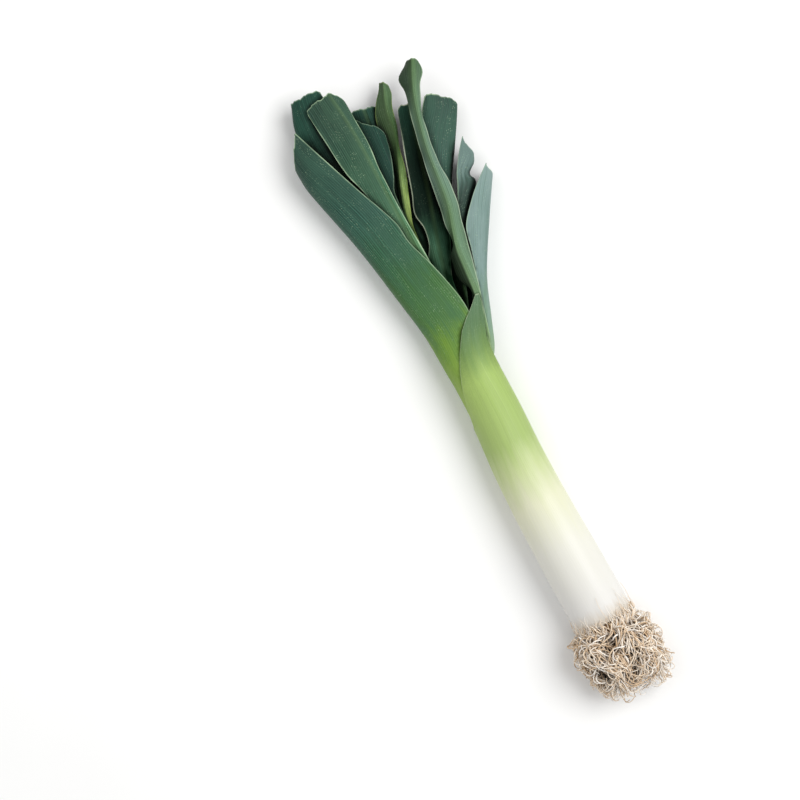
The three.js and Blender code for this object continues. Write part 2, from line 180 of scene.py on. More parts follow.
# %% The front leaf and the two it holds
add_leaf("front_leaf", "sheath", "lobe", 99, closed=(90, 270),
         rim=[(9, 138), (40, 160), (67, 181), (80, 195), (99, 204), (115, 211), (140, 198), (152, 184),
              (165, 171), (185, 158), (270, 148), (369, 138)],
         lean=[(165, 0), (172, -0.4), (183, -2.2), (196, -7), (211, -15)])
add_leaf("left_broad_leaf", "broad_leaf", "left", 0, (125, 100), corner=1.0, shoulder=2.0,
         keel=[(165, 14.3), (186, 15.0), (202, 15.9), (227, 19.9), (267, 26.8), (312, 37.3), (323, 38.2)],
         first=[(165, -9), (206, -14.0), (236, -8.2), (256, -1.9), (270, -0.2), (299, 11.0),
                (330, 22.4), (346, 28.2)],
         second=[(165, -2), (206, -3), (260, 4), (299, 14), (330, 24), (334, 26)])
add_leaf("long_folded_leaf", "folded_leaf", "top", 150, (42, 20), corner=1.8,
         keel=[(165, -11.4), (173, -12.8), (184, -17.4), (202, -21.0), (214, -22.4), (228, -23.6),
               (240, -24.8), (250, -27.6), (266, -32.4), (302, -37.2), (332, -45), (353, -54.3)],
         first=[(165, -4.5), (173, -9), (184, -14.8), (197, -19.3), (206, -20.6), (214, -20.9),
                (222, -19.4), (232, -18.6), (238, -20.3), (243, -24.4), (259, -26.5), (300, -33.0),
                (323, -38.3), (331, -39.7), (338, -42.0), (346, -42.4), (351, -50.0), (353, -51.4)],
         second=[(165, -12.7), (173, -13.6), (184, -18.1), (202, -23.4), (228, -30.2), (248, -34.4),
                 (266, -39.0), (302, -40.8), (321, -44.9), (332, -49.4), (338, -52.4), (343, -56.6),
                 (352, -57.6)],
         crest=[(205, 0), (235, 2.2), (290, 3.4), (354, 2.4)],
         curl=[(200, 0), (214, 3.2), (236, 5.0), (248, 0.8), (322, 0.5), (338, 4.2), (354, 4.0)])
print("leaves noted so far:", len(LEAVES))

# %% [markdown]
# On the right two grey leaves show their backs, one pointed and one curled over at the tip. Between
# them and the left leaf a second broad blade stands with its keel up.

# %% The pointed, second broad and curled leaves
add_leaf("right_pointed_leaf", "grey_leaf", "right", 192, (100, 90), corner=0.3, shoulder=0.3, ragged=0.2,
         keel=[(165, -11.8), (172, -15), (179, -18.8), (194, -24.6), (218, -34.4), (248, -52.2),
               (270, -66.0)],
         first=[(165, 0), (185, -9), (200, -19), (220, -28), (236, -33), (249, -36.4), (261, -46.4),
                (268, -53.6), (277.5, -65.2)],
         second=[(165, -2), (185, -11), (200, -21), (220, -30), (249, -39), (261, -49), (270, -58),
                 (273, -62.5)])
add_leaf("second_broad_leaf", "standing_leaf", "top", 80, (55, 50),
         keel=[(165, 1), (200, -2), (250, -3.5), (300, -3.4), (322, -3.4), (341, -2.4), (357, -0.7)],
         first=[(165, 8.5), (230, 6), (270, 7), (292, 7.6), (310, 12.4), (330, 14.4), (355, 16.5)],
         second=[(165, -8), (200, -8), (246, -7.4), (276, -6.4), (303, -6.6), (320, -7.9), (352, -6.9)],
         crest=[(285, 0), (310, 1.2), (357, 2.2)])
add_leaf("curled_leaf", "curled_leaf", "right", 180, (90, 80), corner=0.8, shoulder=2,
         keel=[(165, -8.5), (180, -11.5), (200, -17.5), (240, -32), (256, -42), (264, -49.6),
               (269, -54.2), (272, -55.0), (275.5, -53.4), (278, -54.6), (281, -59.0), (286, -61.6)],
         first=[(165, 0), (185, -8), (200, -16), (220, -25), (240, -31), (262, -38), (274, -44),
                (280, -46.6), (291, -54), (298, -59.8)],
         second=[(165, -1), (200, -9), (240, -24), (274, -46), (290, -57)])
print("leaves noted so far:", len(LEAVES))

# %% [markdown]
# The leaves behind these are seen in strips. `sink` sets a leaf deeper into the fan than its turn in
# the order would, so that a dark hollow stays above it.

# %% The back, upright and middle leaves
add_leaf("back_left_leaf", "dark_leaf", "left", 0, (90, 80), corner=2.5, shoulder=1.6,
         keel=[(165, 7.6), (200, 8.5), (240, 14), (300, 24.5), (330, 28), (348, 27.3), (363, 21.9)],
         first=[(165, 0), (200, 0), (240, 0), (300, 0), (363, 3.4)],
         second=[(165, 0), (200, 1), (240, 4), (300, 8), (358, 8)])
add_leaf("upright_right_leaf", "broad_leaf", "right", 180, (90, 80), corner=1.6, shoulder=2.4,
         keel=[(165, -6.3), (200, -12.3), (240, -25.5), (276, -41.4), (293, -52.2), (309, -62.2),
               (317, -66.8)],
         first=[(165, 0), (185, -6), (200, -13), (220, -21), (240, -26.5), (262, -30.5), (285, -33),
                (300, -36), (320, -44), (331.4, -52.2)],
         second=[(165, 0), (200, -5), (240, -15), (280, -31), (321, -52)])
add_leaf("middle_leaf", "dark_leaf", "top", 90, sink=3.0,
         keel=[(165, 0), (220, -1), (290, -3), (336, -8)],
         first=[(165, 4), (220, 5), (290, 8), (340, 6)],
         second=[(165, -4), (220, -5), (286, -8.2), (296, -12.5), (307, -16.6), (324, -20.4)])
print("leaves noted so far:", len(LEAVES))

# %% [markdown]
# The three innermost leaves lie deepest. The narrow one is young, so it is still pale and its two
# arms lie close together.

# %% The innermost leaves
add_leaf("inner_dark_leaf", "inner_leaf", "top", 90, sink=4.2,
         keel=[(165, -1.5), (200, -6), (240, -15), (280, -27), (331, -41)],
         first=[(165, 3), (220, -3), (242, -7.7), (250, -12.0), (260, -13.9), (270, -12.9),
                (282, -17.2), (300, -22.8), (333, -34)],
         second=[(165, -3), (200, -11.5), (207, -13), (224, -14.8), (236, -19.5), (246, -24.6),
                 (256, -28.0), (272, -33.5), (290, -39.5), (326, -46.5)])
add_leaf("narrow_pale_leaf", "young_leaf", "top", 90, sink=4.6, corner=0.9,
         keel=[(165, -0.5), (220, -4), (268, -6.4), (288, -12.8), (311, -22.2), (321, -25.2),
               (334, -27.4), (349, -33.0)],
         first=[(165, 2), (220, -1.5), (268, -5.0), (288, -11.2), (300, -15.4), (312, -18.6),
                (322, -17.0), (331, -18.8), (335, -20.4), (341, -24.3), (346, -28.6), (350, -31.0)],
         second=[(165, -2), (220, -6.5), (262, -8.6), (274, -12.2), (297, -20.8), (310, -23.6),
                 (320, -27.8), (334, -31.3), (341, -34.6), (347, -35.4)],
         crest=[(262, 0), (285, 2.4), (349, 3.6)])
add_leaf("heart_leaf", "dark_leaf", "top", 90, sink=5.2,
         keel=[(165, 0), (220, -2), (280, -7), (341, -15.4)],
         first=[(165, 1), (220, 4), (280, 6), (344, 0)],
         second=[(165, -1), (220, -9), (280, -18), (339, -23.5)])
print("leaves noted in all:", len(LEAVES))

# %% [markdown]
# ## A leaf rolled round the shaft
# In the shaft a leaf's section is part of a circle. On its way to the throat a sheath opens, so the
# angle that each arm reaches shrinks from half a turn to much less over the shaft's upper half.

# %% The sheath's section
OPENING = (76, 166)


def sheath_section(leaf, order, x, side, u):
    """y and z round the shaft's axis. order counts the leaves from the outermost, side is 0 or 1, and u
    runs from 0 at the keel to 1 at the margin."""
    first_arm = side == 0
    radius = along(SHAFT_RADIUS, x) - SHEATH_THICKNESS / 2 - order * LEAF_PITCH
    closed = np.where(first_arm, *leaf["closed"])
    if leaf["fold"] == "lobe":
        reach = closed
    else:
        opened = np.clip((x - OPENING[0]) / (OPENING[1] - OPENING[0]), 0, 1)
        reach = mix(closed, np.where(first_arm, *leaf["open_reach"]), opened)
    turn = np.where(first_arm, 1, -1) * (1 if leaf["fold"] == "left" else -1)
    angle = np.radians(leaf["keel_angle"] + turn * reach * u)
    return along(SHAFT_BOW, x) + radius * np.cos(angle), radius * np.sin(angle)


keel_z = sheath_section(LEAVES[0], 0, np.array([FOOT_X]), np.array([0]), np.array([0.0]))[1]
print("keel of the front leaf above the axis at the foot, mm:", round(float(keel_z[0]), 1))

# %% [markdown]
# ## A leaf spread in the fan
# In the fan a leaf is either folded over its keel, like a sheet of paper over a string, or lies open
# on top. A folded section is a blunt ellipse, fuller than a round one, because the arms of a leek's
# leaf stay flat up to the fold. The whole fan is a low dome, so blades near its sides lie lower.

# %% The blade's section
FOLD_ROUNDNESS = 2.3
CREST_SHARPNESS = 1.3
SINKING = (190, 232)


def blade_section(leaf, order, x, side, u):
    """y and z of a leaf in the fan, before it is joined to its sheath."""
    first_arm = side == 0
    layer = FAN_HALF_HEIGHT - order * FAN_PITCH - leaf.get("sink", 0) * smooth(x, *SINKING)
    if leaf["fold"] == "lobe":
        return None, np.full_like(x, layer)
    keel_y = along(leaf["keel"], x)
    margin_y = np.where(first_arm, along(leaf["first"], x), along(leaf["second"], x))
    if leaf["fold"] == "top":
        crest = along(leaf["crest"], x) if "crest" in leaf else 0
        curl = np.where(first_arm, along(leaf["curl"], x), 0) if "curl" in leaf else 0
        return mix(keel_y, margin_y, u), layer + crest * (1 - u) ** CREST_SHARPNESS - curl * u ** 2
    swing = u * math.pi / 2
    bulge = 2 / FOLD_ROUNDNESS
    y = mix(margin_y, keel_y, np.clip(np.cos(swing), 0, 1) ** bulge)
    return y, layer * np.sin(swing) ** bulge * np.where(first_arm, 1, -1)


print("blades stand off the fan's middle by up to", FAN_HALF_HEIGHT, "mm")

# %% [markdown]
# ## The throat
# Blending the two sections over a few centimetres gives the throat, where a real sheath opens. The
# blend sideways comes first and the one in height a little later, so a leaf leaves the shaft's
# outline before it rises into its layer. Leaves on the right hang down a little.

# %% The middle surface of a leaf
SIDEWAYS_RANGE = (FAN_START - 14, FAN_START + 4)
LOBE_RISE = (FAN_START - 6, FAN_START + 24)
BLADE_RISE = (FAN_START - 10, FAN_OPEN)


def surface_point(leaf, order, x, side, u):
    """Points of a leaf's middle surface for arrays x, side and u."""
    lobe = leaf["fold"] == "lobe"
    ring_y, ring_z = sheath_section(leaf, order, x, side, u)
    y, z = blade_section(leaf, order, x, side, u)
    if lobe:
        y = ring_y + along(leaf["lean"], x)
    z = z * np.sqrt(1 - ((y - along(FAN_CENTRE, x)) / DOME_RADIUS) ** 2)
    across = mix(ring_y, y, smooth(x, *SIDEWAYS_RANGE))
    height = axis_height(x) + mix(ring_z, z, smooth(x, *(LOBE_RISE if lobe else BLADE_RISE)))
    droop = FAN_DROOP * np.maximum(0, DROOP_FROM - across) * smooth(x, *SAG_RANGE)
    return np.stack([x, across, height - droop], axis=-1)


print("throat from", SIDEWAYS_RANGE[0], "to", FAN_OPEN, "mm")

# %% [markdown]
# ## The cut tips
# A leaf's grid has rows along the leek and columns from one margin through the keel to the other.
# Each column ends where the knife or the grower left it: the corners are round and the line between
# them is a little ragged. Cutting the mesh with a boolean would leave long thin faces, so instead
# every column is simply made shorter by its own amount.

# %% How much each column stops short
RAGGED_WAVES = ((9.0, 0.5), (4.1, 0.3), (2.2, 0.16))
ANY_PHASE = (0, 6)
TIP_RAGGED = 0.7
CORNER = 4.0
SHOULDER = 3.0
FOLD_WIDTH = 8


def rounded(distance, radius):
    """How far a round corner of this radius stands back, at a distance from its edge."""
    past = np.clip(1 - distance / radius, 0, 1)
    return radius * (1 - np.sqrt(1 - past ** 2))


def tip_trim(leaf, side, u, rng):
    """Millimetres by which each column of a blade stops short of its keel's and margins' ends."""
    margin_y = np.where(side == 0, leaf["first"][-1][1], leaf["second"][-1][1])
    open_on_top = leaf["fold"] == "top"
    arm_width = np.abs(margin_y - leaf["keel"][-1][1]) + (0 if open_on_top else FOLD_WIDTH)
    trim = rounded((1 - u) * arm_width, leaf.get("corner", CORNER))
    if not open_on_top:
        trim = trim + rounded(u * arm_width, leaf.get("shoulder", SHOULDER))
    across = np.where(side == 0, -1, 1) * u * arm_width
    for wavelength, height in RAGGED_WAVES:
        turned = across * 2 * math.pi / wavelength + rng.uniform(*ANY_PHASE)
        trim = trim + leaf.get("ragged", TIP_RAGGED) * height * np.sin(turned)
    return trim


print("a corner stands back, mm:", float(rounded(np.array(0.0), CORNER)))

# %% [markdown]
# ## Rows and columns
# The sheath needs few rows, because it is straight; the blade has one every couple of millimetres.
# The lobe's rows follow its rim instead, so that each column ends on the outline of the lobe.

# %% The columns of a leaf
ARM_COLUMNS = 26
FEWEST_COLUMNS = 8


def leaf_columns(leaf):
    """The arm (0 or 1) of each column and how far out on it the column lies, 0 to 1."""
    weights = leaf["closed"] if leaf["fold"] == "lobe" else (1, 1)
    counts = [max(FEWEST_COLUMNS, round(ARM_COLUMNS * w / max(weights))) for w in weights]
    first = np.linspace(1, 0, counts[0] + 1)[:-1]
    second = np.linspace(0, 1, counts[1] + 1)
    side = np.concatenate([np.zeros(len(first), int), np.ones(len(second), int)])
    return side, np.concatenate([first, second])


print("columns across the front leaf:", len(leaf_columns(LEAVES[0])[0]),
      "and across each blade:", len(leaf_columns(LEAVES[1])[0]))

# %% [markdown]
# The ends of a blade's margins and keel don't lie side by side, so the rows lean over towards the
# tip, more and more, until the last one runs from end to end.

# %% The rows of a leaf
SHEATH_ROWS = 26
LOBE_ROWS = 100
LOBE_ROUGHNESS = 0.15
BLADE_ROW_STEP = 1.7
TIP_BEND_START = 0.55
TRIM_LENGTH = 22


def lobe_stations(leaf, side, u, rng):
    """x of each point of the front leaf, rows x columns."""
    turn = np.where(side == 0, -1, 1)
    angle = leaf["keel_angle"] + turn * np.where(side == 0, *leaf["closed"]) * u
    ends = along(leaf["rim"], angle) + rng.normal(0, LOBE_ROUGHNESS, len(u))
    ends[-1] = ends[0]
    return mix(BASE_START, ends[None, :], np.linspace(0, 1, LOBE_ROWS)[:, None])


def blade_stations(leaf, side, u, rng):
    """x of each point of a blade, rows x columns."""
    keel_end = leaf["keel"][-1][0]
    sheath = np.linspace(BASE_START, OPENING[0], SHEATH_ROWS)
    blade = np.arange(OPENING[0] + BLADE_ROW_STEP, keel_end, BLADE_ROW_STEP)
    rows = np.concatenate([sheath, blade, [keel_end]])
    bend_from = mix(OPENING[1], keel_end, TIP_BEND_START)
    margin_end = np.where(side == 0, leaf["first"][-1][0], leaf["second"][-1][0])
    slant = mix(keel_end, margin_end, u) - keel_end
    x = rows[:, None] + slant[None, :] * smooth(rows, bend_from, keel_end)[:, None]
    return x - tip_trim(leaf, side, u, rng) * smooth(rows, keel_end - TRIM_LENGTH, keel_end)[:, None]


side, u = leaf_columns(LEAVES[1])
print("rows of the left broad leaf:", len(blade_stations(LEAVES[1], side, u, np.random.default_rng(0))))

# %% [markdown]
# The grid of a leaf joins rows, columns and the middle surface. Its normals, the directions in
# which the skins will be set off, come from the steps between neighbouring points.

# %% The grid of a leaf
def leaf_grid(leaf, order, rng):
    """A leaf's middle surface as rows x columns x 3, its columns, and how many rows are closed."""
    side, u = leaf_columns(leaf)
    lobe = leaf["fold"] == "lobe"
    x = (lobe_stations if lobe else blade_stations)(leaf, side, u, rng)
    side = np.broadcast_to(side, x.shape)
    u = np.broadcast_to(u, x.shape)
    return surface_point(leaf, order, x, side, u), side, u, LOBE_ROWS if lobe else SHEATH_ROWS


def grid_normals(points, closed_rows):
    """Unit normals of a grid; the first and last columns of the closed rows are the same line."""
    rows = np.gradient(points, axis=0)
    columns = np.gradient(points, axis=1)
    seam = points[:closed_rows, 1] - points[:closed_rows, -2]
    columns[:closed_rows, 0] = seam
    columns[:closed_rows, -1] = seam
    return unit(np.cross(columns, rows))


left_grid = leaf_grid(LEAVES[1], 1, np.random.default_rng(0))[0]
print("the left broad leaf's grid:", left_grid.shape[0], "rows,", left_grid.shape[1], "columns")

# %% [markdown]
# ## Waves, crease and thickness
# The margin of a blade is a little wavy, since it grew faster than the middle, and along the keel
# runs a fine crease. A real blade is thick at the keel and thin at the margin. A Solidify modifier
# gives only one thickness, so the thickness is worked out here for every point.

# %% Waves, crease and thickness
WAVE = dict(front_leaf=0.25, left_broad_leaf=0.55, long_folded_leaf=0.7, right_pointed_leaf=0.5,
            second_broad_leaf=0.5, curled_leaf=0.5, inner_dark_leaf=0.35)
PLAIN_WAVE = 0.2
WAVE_LENGTH = 31
OTHER_ARM_PHASE = 2.1
FINER_WAVE = 1.9
FINER_HEIGHT = 0.5
WAVY_RANGE = (176, 226)
KEEL_CREASE = 0.35
CREASE_WIDTH = 1.6
NARROWEST_ARM = 3
WAVE_POWER = 3
BLADE_THICKNESS = 0.9
MARGIN_THICKNESS = 0.42
THINNING_RANGE = (166, 210)


def leaf_relief(leaf, points, side, u, phase):
    """How far the surface stands off its middle: a crease at the keel and slow waves at the margin."""
    x = points[..., 0]
    in_fan = smooth(x, *WAVY_RANGE)
    turned = 2 * math.pi * x / WAVE_LENGTH + phase + side * OTHER_ARM_PHASE
    height = WAVE.get(leaf["name"], PLAIN_WAVE) * in_fan * u ** WAVE_POWER
    wave = height * (np.sin(turned) + FINER_HEIGHT * np.sin(turned * FINER_WAVE))
    half_width = np.linalg.norm(points[:, -1] - points[:, 0], axis=-1)[:, None] / 2
    from_keel = u * np.maximum(half_width, NARROWEST_ARM)
    return wave + KEEL_CREASE * in_fan * np.exp(-(from_keel / CREASE_WIDTH) ** 2)


def leaf_thickness(x, u):
    """Thickness in millimetres, at x along the leek and u from keel to margin."""
    blade = mix(BLADE_THICKNESS, MARGIN_THICKNESS, u ** 2)
    return mix(SHEATH_THICKNESS, blade, smooth(x, *THINNING_RANGE))


fan_x = THINNING_RANGE[1]
print("blade thick at keel and margin, mm:", [float(leaf_thickness(fan_x, u)) for u in (0, 1)])

# %% [markdown]
# ## A leaf as a closed solid
# Two skins, half a thickness either side of the middle surface, are joined at the base, the margins
# and the tip. A closed mesh like this shades well from every side and can also be printed or
# weighed. While a sheath is closed it has no margins, so its first and last columns are one line.

# %% The faces of a closed leaf
def leaf_faces(index, closed_rows):
    """Faces of both skins, the margins, the base and the tip. index numbers the outer skin's grid."""
    rows, width = index.shape
    skin = rows * width
    a, b = index[:-1, :-1].ravel(), index[1:, :-1].ravel()
    c, d = index[1:, 1:].ravel(), index[:-1, 1:].ravel()
    faces = [np.stack([a, b, c, d], 1), np.stack([a, d, c, b], 1) + skin]
    for column, flip in ((0, False), (width - 1, True)):
        low, high = index[closed_rows - 1:-1, column], index[closed_rows:, column]
        edge = np.stack([low, low + skin, high + skin, high], 1)
        faces.append(edge[:, ::-1] if flip else edge)
    for row, flip in ((0, False), (rows - 1, True)):
        near, far = index[row, :-1], index[row, 1:]
        edge = np.stack([near, far, far + skin, near + skin], 1)
        faces.append(edge[:, ::-1] if flip else edge)
    return np.concatenate(faces)


small_grid = np.arange(12).reshape(4, 3)
print("a closed leaf of 4 rows and 3 columns has", len(leaf_faces(small_grid, 2)), "faces")

# %% [markdown]
# ## Numbers for the finishes
# Each corner of a face also carries how far it is from the keel, the margin and the roots, in
# millimetres. Where a sheath closes on itself, its first and last columns share their points, but
# the distance across the leaf is not the same on both sides of that seam. So the distances are kept
# on the corners of the faces, which may differ from one face to the next at the same point.

# %% Distances over a leaf
def add_numbers(mesh, name, values, domain="POINT"):
    """Stores numbers on the points or the face corners of a mesh, for the finish to read."""
    layer = mesh.attributes.new(name, "FLOAT", domain)
    layer.data.foreach_set("value", np.asarray(values, dtype=np.float32))


def leaf_distances(points, u, closed_rows):
    """Millimetres across from the keel, along from the roots, and in from the nearest edge."""
    rows = len(points)
    step = np.linalg.norm(np.diff(points, axis=1), axis=-1)
    walked = np.concatenate([np.zeros((rows, 1)), np.cumsum(step, axis=1)], axis=1)
    keel = int(np.argmin(u[0]))
    to_margin = np.minimum(walked, walked[:, -1:] - walked)
    to_tip = np.abs(points[-1:, :, 0] - points[..., 0])
    to_edge = np.where(np.arange(rows)[:, None] < closed_rows, to_tip, np.minimum(to_margin, to_tip))
    return dict(across_mm=walked - walked[:, keel:keel + 1], length_mm=points[..., 0], edge_mm=to_edge)


across_left = leaf_distances(left_grid, u[None, :], SHEATH_ROWS)["across_mm"]
print("the left broad leaf reaches round the shaft, mm:",
      across_left[0].min().round(1), "to", across_left[0].max().round(1))

# %% [markdown]
# The leaf's mesh puts all of this together. No point lies below the table, because a real leaf that
# touches it is pressed flat there.

# %% The mesh of a leaf
FIRST_SEED = 100
PHASE_STEP = 1.7


def leaf_mesh(leaf, order, shift):
    """A leaf's closed mesh, and how many of its points belong to the outer skin."""
    rng = np.random.default_rng(FIRST_SEED + order)
    points, side, u, closed_rows = leaf_grid(leaf, order, rng)
    to_left = leaf["fold"] == "left"
    outwards = grid_normals(points, closed_rows) * (1 if to_left else -1)
    points = points + outwards * leaf_relief(leaf, points, side, u, order * PHASE_STEP)[..., None]
    half = leaf_thickness(points[..., 0], u)[..., None] / 2
    points[..., 2] = np.maximum(points[..., 2], half[..., 0])
    both = np.concatenate([(points + outwards * half).reshape(-1, 3),
                           (points - outwards * half).reshape(-1, 3)])
    apart = np.arange(u.size).reshape(u.shape)
    joined = apart.copy()
    joined[:closed_rows, -1] = joined[:closed_rows, 0]
    turned = -1 if to_left else 1
    corners = leaf_faces(apart, closed_rows)[:, ::turned]
    used, faces = np.unique(leaf_faces(joined, closed_rows)[:, ::turned], return_inverse=True)
    mesh = bpy.data.meshes.new(leaf["name"] + "_blade")
    mesh.from_pydata(((both[used] + shift) * MM).tolist(), [], faces.reshape(-1, 4).tolist())
    for name, values in leaf_distances(points, u, closed_rows).items():
        add_numbers(mesh, name, np.tile(values.ravel(), 2)[corners.ravel()], "CORNER")
    return mesh, int(np.sum(used < u.size))


print("each leaf has its own seed, from", FIRST_SEED, "to", FIRST_SEED + len(LEAVES) - 1)

# %% [markdown]
# ## Where the frame puts the leek
# The frame's origin is under the middle of the whole leek, while the lines above start at its
# basal plate. The frame's boxes of two leaves give the shift from one to the other.

# %% The shift into the frame, and the leaves' meshes
front_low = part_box("front_leaf")[0]
left_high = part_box("left_broad_leaf")[1]
shift = np.array([front_low[0] / MM - BASE_START,
                  left_high[1] / MM - left_grid[..., 1].max() - SHEATH_THICKNESS / 2, 0.0])
made_leaves = [leaf_mesh(leaf, order, shift) for order, leaf in enumerate(LEAVES)]
print("shift, mm:", shift.round(2), "and faces:", sum(len(mesh.polygons) for mesh, _ in made_leaves))

# %% [markdown]
# ## The hollows of the fan
# Between the blades lie deep, narrow hollows that light hardly reaches and where leaves stay dark.
# From points spread over each leaf, rays go out to the sky. The share that meets no leaf on the way
# is the openness there, and the finishes darken the leaf where it is low. The renderer makes such
# shade by itself, and the finishes deepen it, since the hollows of a real leek look nearly black.

# %% Rays to the sky
RAYS = 18
LOWEST_RAY = 0.15
GOLDEN_ANGLE = math.pi * (3 - math.sqrt(5))


def sky_rays():
    """Directions spread evenly over the upper half of a sphere."""
    i = np.arange(RAYS) + 0.5
    height = 1 - (1 - LOWEST_RAY) * i / RAYS
    around = i * GOLDEN_ANGLE
    level = np.sqrt(1 - height ** 2)
    return [Vector(d) for d in np.stack([level * np.cos(around), level * np.sin(around), height], 1)]


directions = sky_rays()
print("rays from each point:", len(directions))

# %% [markdown]
# A ray that meets a leaf a little way off still counts for something, since light comes in between
# them. Rays are slow, so they start from every few points only, and each other point takes a blend
# of what was found nearest to it. Blender's own trees find the hit face and the near points.

# %% How open one point is
RAY_REACH = 0.035
RAY_LIFT = 0.0004
FACING_LEAST = 0.05
FAR_HIT_SHARE = 0.4
SAMPLE_STRIDE = 5
NEAR_SAMPLES = 5
NEAREST = 0.0008


def openness_at(point, everything):
    """The share of the sky that a point of a leaf sees past the leaves."""
    lifted = point.co + point.normal * RAY_LIFT
    total = clear = 0.0
    for direction in directions:
        facing = point.normal.dot(direction)
        if facing > FACING_LEAST:
            total += facing
            distance = everything.ray_cast(lifted, direction, RAY_REACH)[3]
            clear += facing * (1.0 if distance is None else FAR_HIT_SHARE * distance / RAY_REACH)
    return clear / total if total else 0.0


def spread_over(points, everything):
    """Openness for each point, measured at every few of them and blended in between."""
    sampled = points[::SAMPLE_STRIDE]
    found = [openness_at(point, everything) for point in sampled]
    near = KDTree(len(sampled))
    for i, point in enumerate(sampled):
        near.insert(point.co, i)
    near.balance()
    spread = []
    for point in points:
        hits = near.find_n(point.co, NEAR_SAMPLES)
        weights = [1 / (distance + NEAREST) for _, _, distance in hits]
        spread.append(sum(w * found[hit[1]] for w, hit in zip(weights, hits)) / sum(weights))
    return spread


print("rays reach", RAY_REACH / MM, "mm")

# %% [markdown]
# Both skins of a leaf are measured on their own, since one may face the sky while the other faces
# the next leaf.

# %% Measure and store the openness
def all_faces(meshes):
    """One search tree with the faces of every leaf."""
    places, faces = [], []
    for mesh in meshes:
        start = len(places)
        places += [point.co.copy() for point in mesh.vertices]
        faces += [[start + v for v in face.vertices] for face in mesh.polygons]
    return BVHTree.FromPolygons(places, faces)


everything = all_faces([mesh for mesh, _ in made_leaves])
for mesh, outer_points in made_leaves:
    points = list(mesh.vertices)
    openness = spread_over(points[:outer_points], everything)
    openness += spread_over(points[outer_points:], everything)
    add_numbers(mesh, "openness", openness)
    print("openness:", mesh.name, round(min(openness), 2), "to", round(max(openness), 2))

# %% [markdown]
# ## Colours as they are seen
# A material in Blender is a tree of nodes, and its colours are linear: half as much light is half
# the number. A colour read off a screen is not linear, so one function turns it round. That way the
# tones below can be given as a painter would mix them, from 0 to 255.

# %% Tones
WHITE = (1.0, 1.0, 1.0, 1.0)


def tone(red, green, blue):
    """A colour given as it looks on screen, 0 to 255, turned into the linear one that nodes use."""
    def linear(value):
        # These five numbers are the definition of a screen's colours.
        share = value / 255
        return share / 12.92 if share <= 0.04045 else ((share + 0.055) / 1.055) ** 2.4
    return (linear(red), linear(green), linear(blue), 1.0)


print("a middle grey is", round(tone(128, 128, 128)[0], 2), "in linear light")

# %% [markdown]
# ## Small helpers for finishes
# The same tree could be wired by hand in the shader editor. These helpers add a node, set its
# sockets and link it in one line, so that the cells below show what is mixed rather than how the
# wires are drawn. An input may be a plain value or another node's output.

# %% Add a node
def feed(tree, socket, value):
    """Sets a socket to a value, or links another node's output to it."""
    if isinstance(value, bpy.types.NodeSocket):
        tree.links.new(value, socket)
    else:
        socket.default_value = value


def node(tree, kind, settings=None, **inputs):
    """Adds a node. Underscores in an input's name stand for spaces."""
    made = tree.nodes.new(kind)
    for name, value in (settings or {}).items():
        setattr(made, name, value)
    for name, value in inputs.items():
        feed(tree, made.inputs[name.replace("_", " ")], value)
    return made


def math_node(tree, operation, *values, clamp=False):
    """The result of one sum on values or on other nodes' outputs."""
    made = node(tree, "ShaderNodeMath", dict(operation=operation, use_clamp=clamp))
    for socket, value in zip(made.inputs, values):
        feed(tree, socket, value)
    return made.outputs[0]


def product(tree, first, *more):
    """Values multiplied one after the other."""
    for value in more:
        first = math_node(tree, "MULTIPLY", first, value)
    return first


def added(tree, first, *more):
    """Values added one after the other."""
    for value in more:
        first = math_node(tree, "ADD", first, value)
    return first


print("helpers ready:", ", ".join(helper.__name__ for helper in (feed, node, math_node, product, added)))

# %% [markdown]
# Three kinds of node do most of the work in the finishes. An attribute node reads a number that the
# mesh carries, a mix node lays one colour over another, and a map range node turns a number into a
# mask from 0 to 1. Noise stretched along a leaf is needed often too, so it has a helper of its own.

# %% Masks, mixes and stretched noise
def fact(tree, name):
    """A number that the mesh carries."""
    return node(tree, "ShaderNodeAttribute", dict(attribute_name=name)).outputs["Fac"]


def blend_colour(tree, share, under, over, mode="MIX"):
    """One colour laid over another, as far as share says."""
    made = node(tree, "ShaderNodeMix", dict(data_type="RGBA", blend_type=mode))
    for socket, value in ((0, share), (6, under), (7, over)):
        feed(tree, made.inputs[socket], value)
    return made.outputs[2]


def between(tree, value, low, high, to_low=0.0, to_high=1.0):
    """Maps value from low..high to to_low..to_high, and holds it there."""
    made = node(tree, "ShaderNodeMapRange", dict(clamp=True), Value=value, From_Min=low, From_Max=high,
                To_Min=to_low, To_Max=to_high)
    return made.outputs["Result"]


def stretched(tree, across, length, across_scale, length_scale):
    """A place on the leaf for a texture, its two directions scaled each in its own way."""
    place = node(tree, "ShaderNodeCombineXYZ", X=product(tree, across, across_scale),
                 Y=product(tree, length, length_scale))
    return place.outputs[0]


def flat_noise(tree, place, detail, scale=1.0, roughness=0.5):
    """Soft noise from 0 to 1, read at a place on the leaf."""
    made = node(tree, "ShaderNodeTexNoise", dict(noise_dimensions="2D"), Vector=place, Scale=scale,
                Detail=detail, Roughness=roughness)
    return made.outputs["Fac"]


print("a mix node's sockets 6 and 7 are its two colours")

# %% [markdown]
# An effect that several finishes use is a shader node group: a small tree with named inputs and
# outputs. It is built once and placed in each material with that material's own values, so a change
# to the group reaches every finish that uses it.

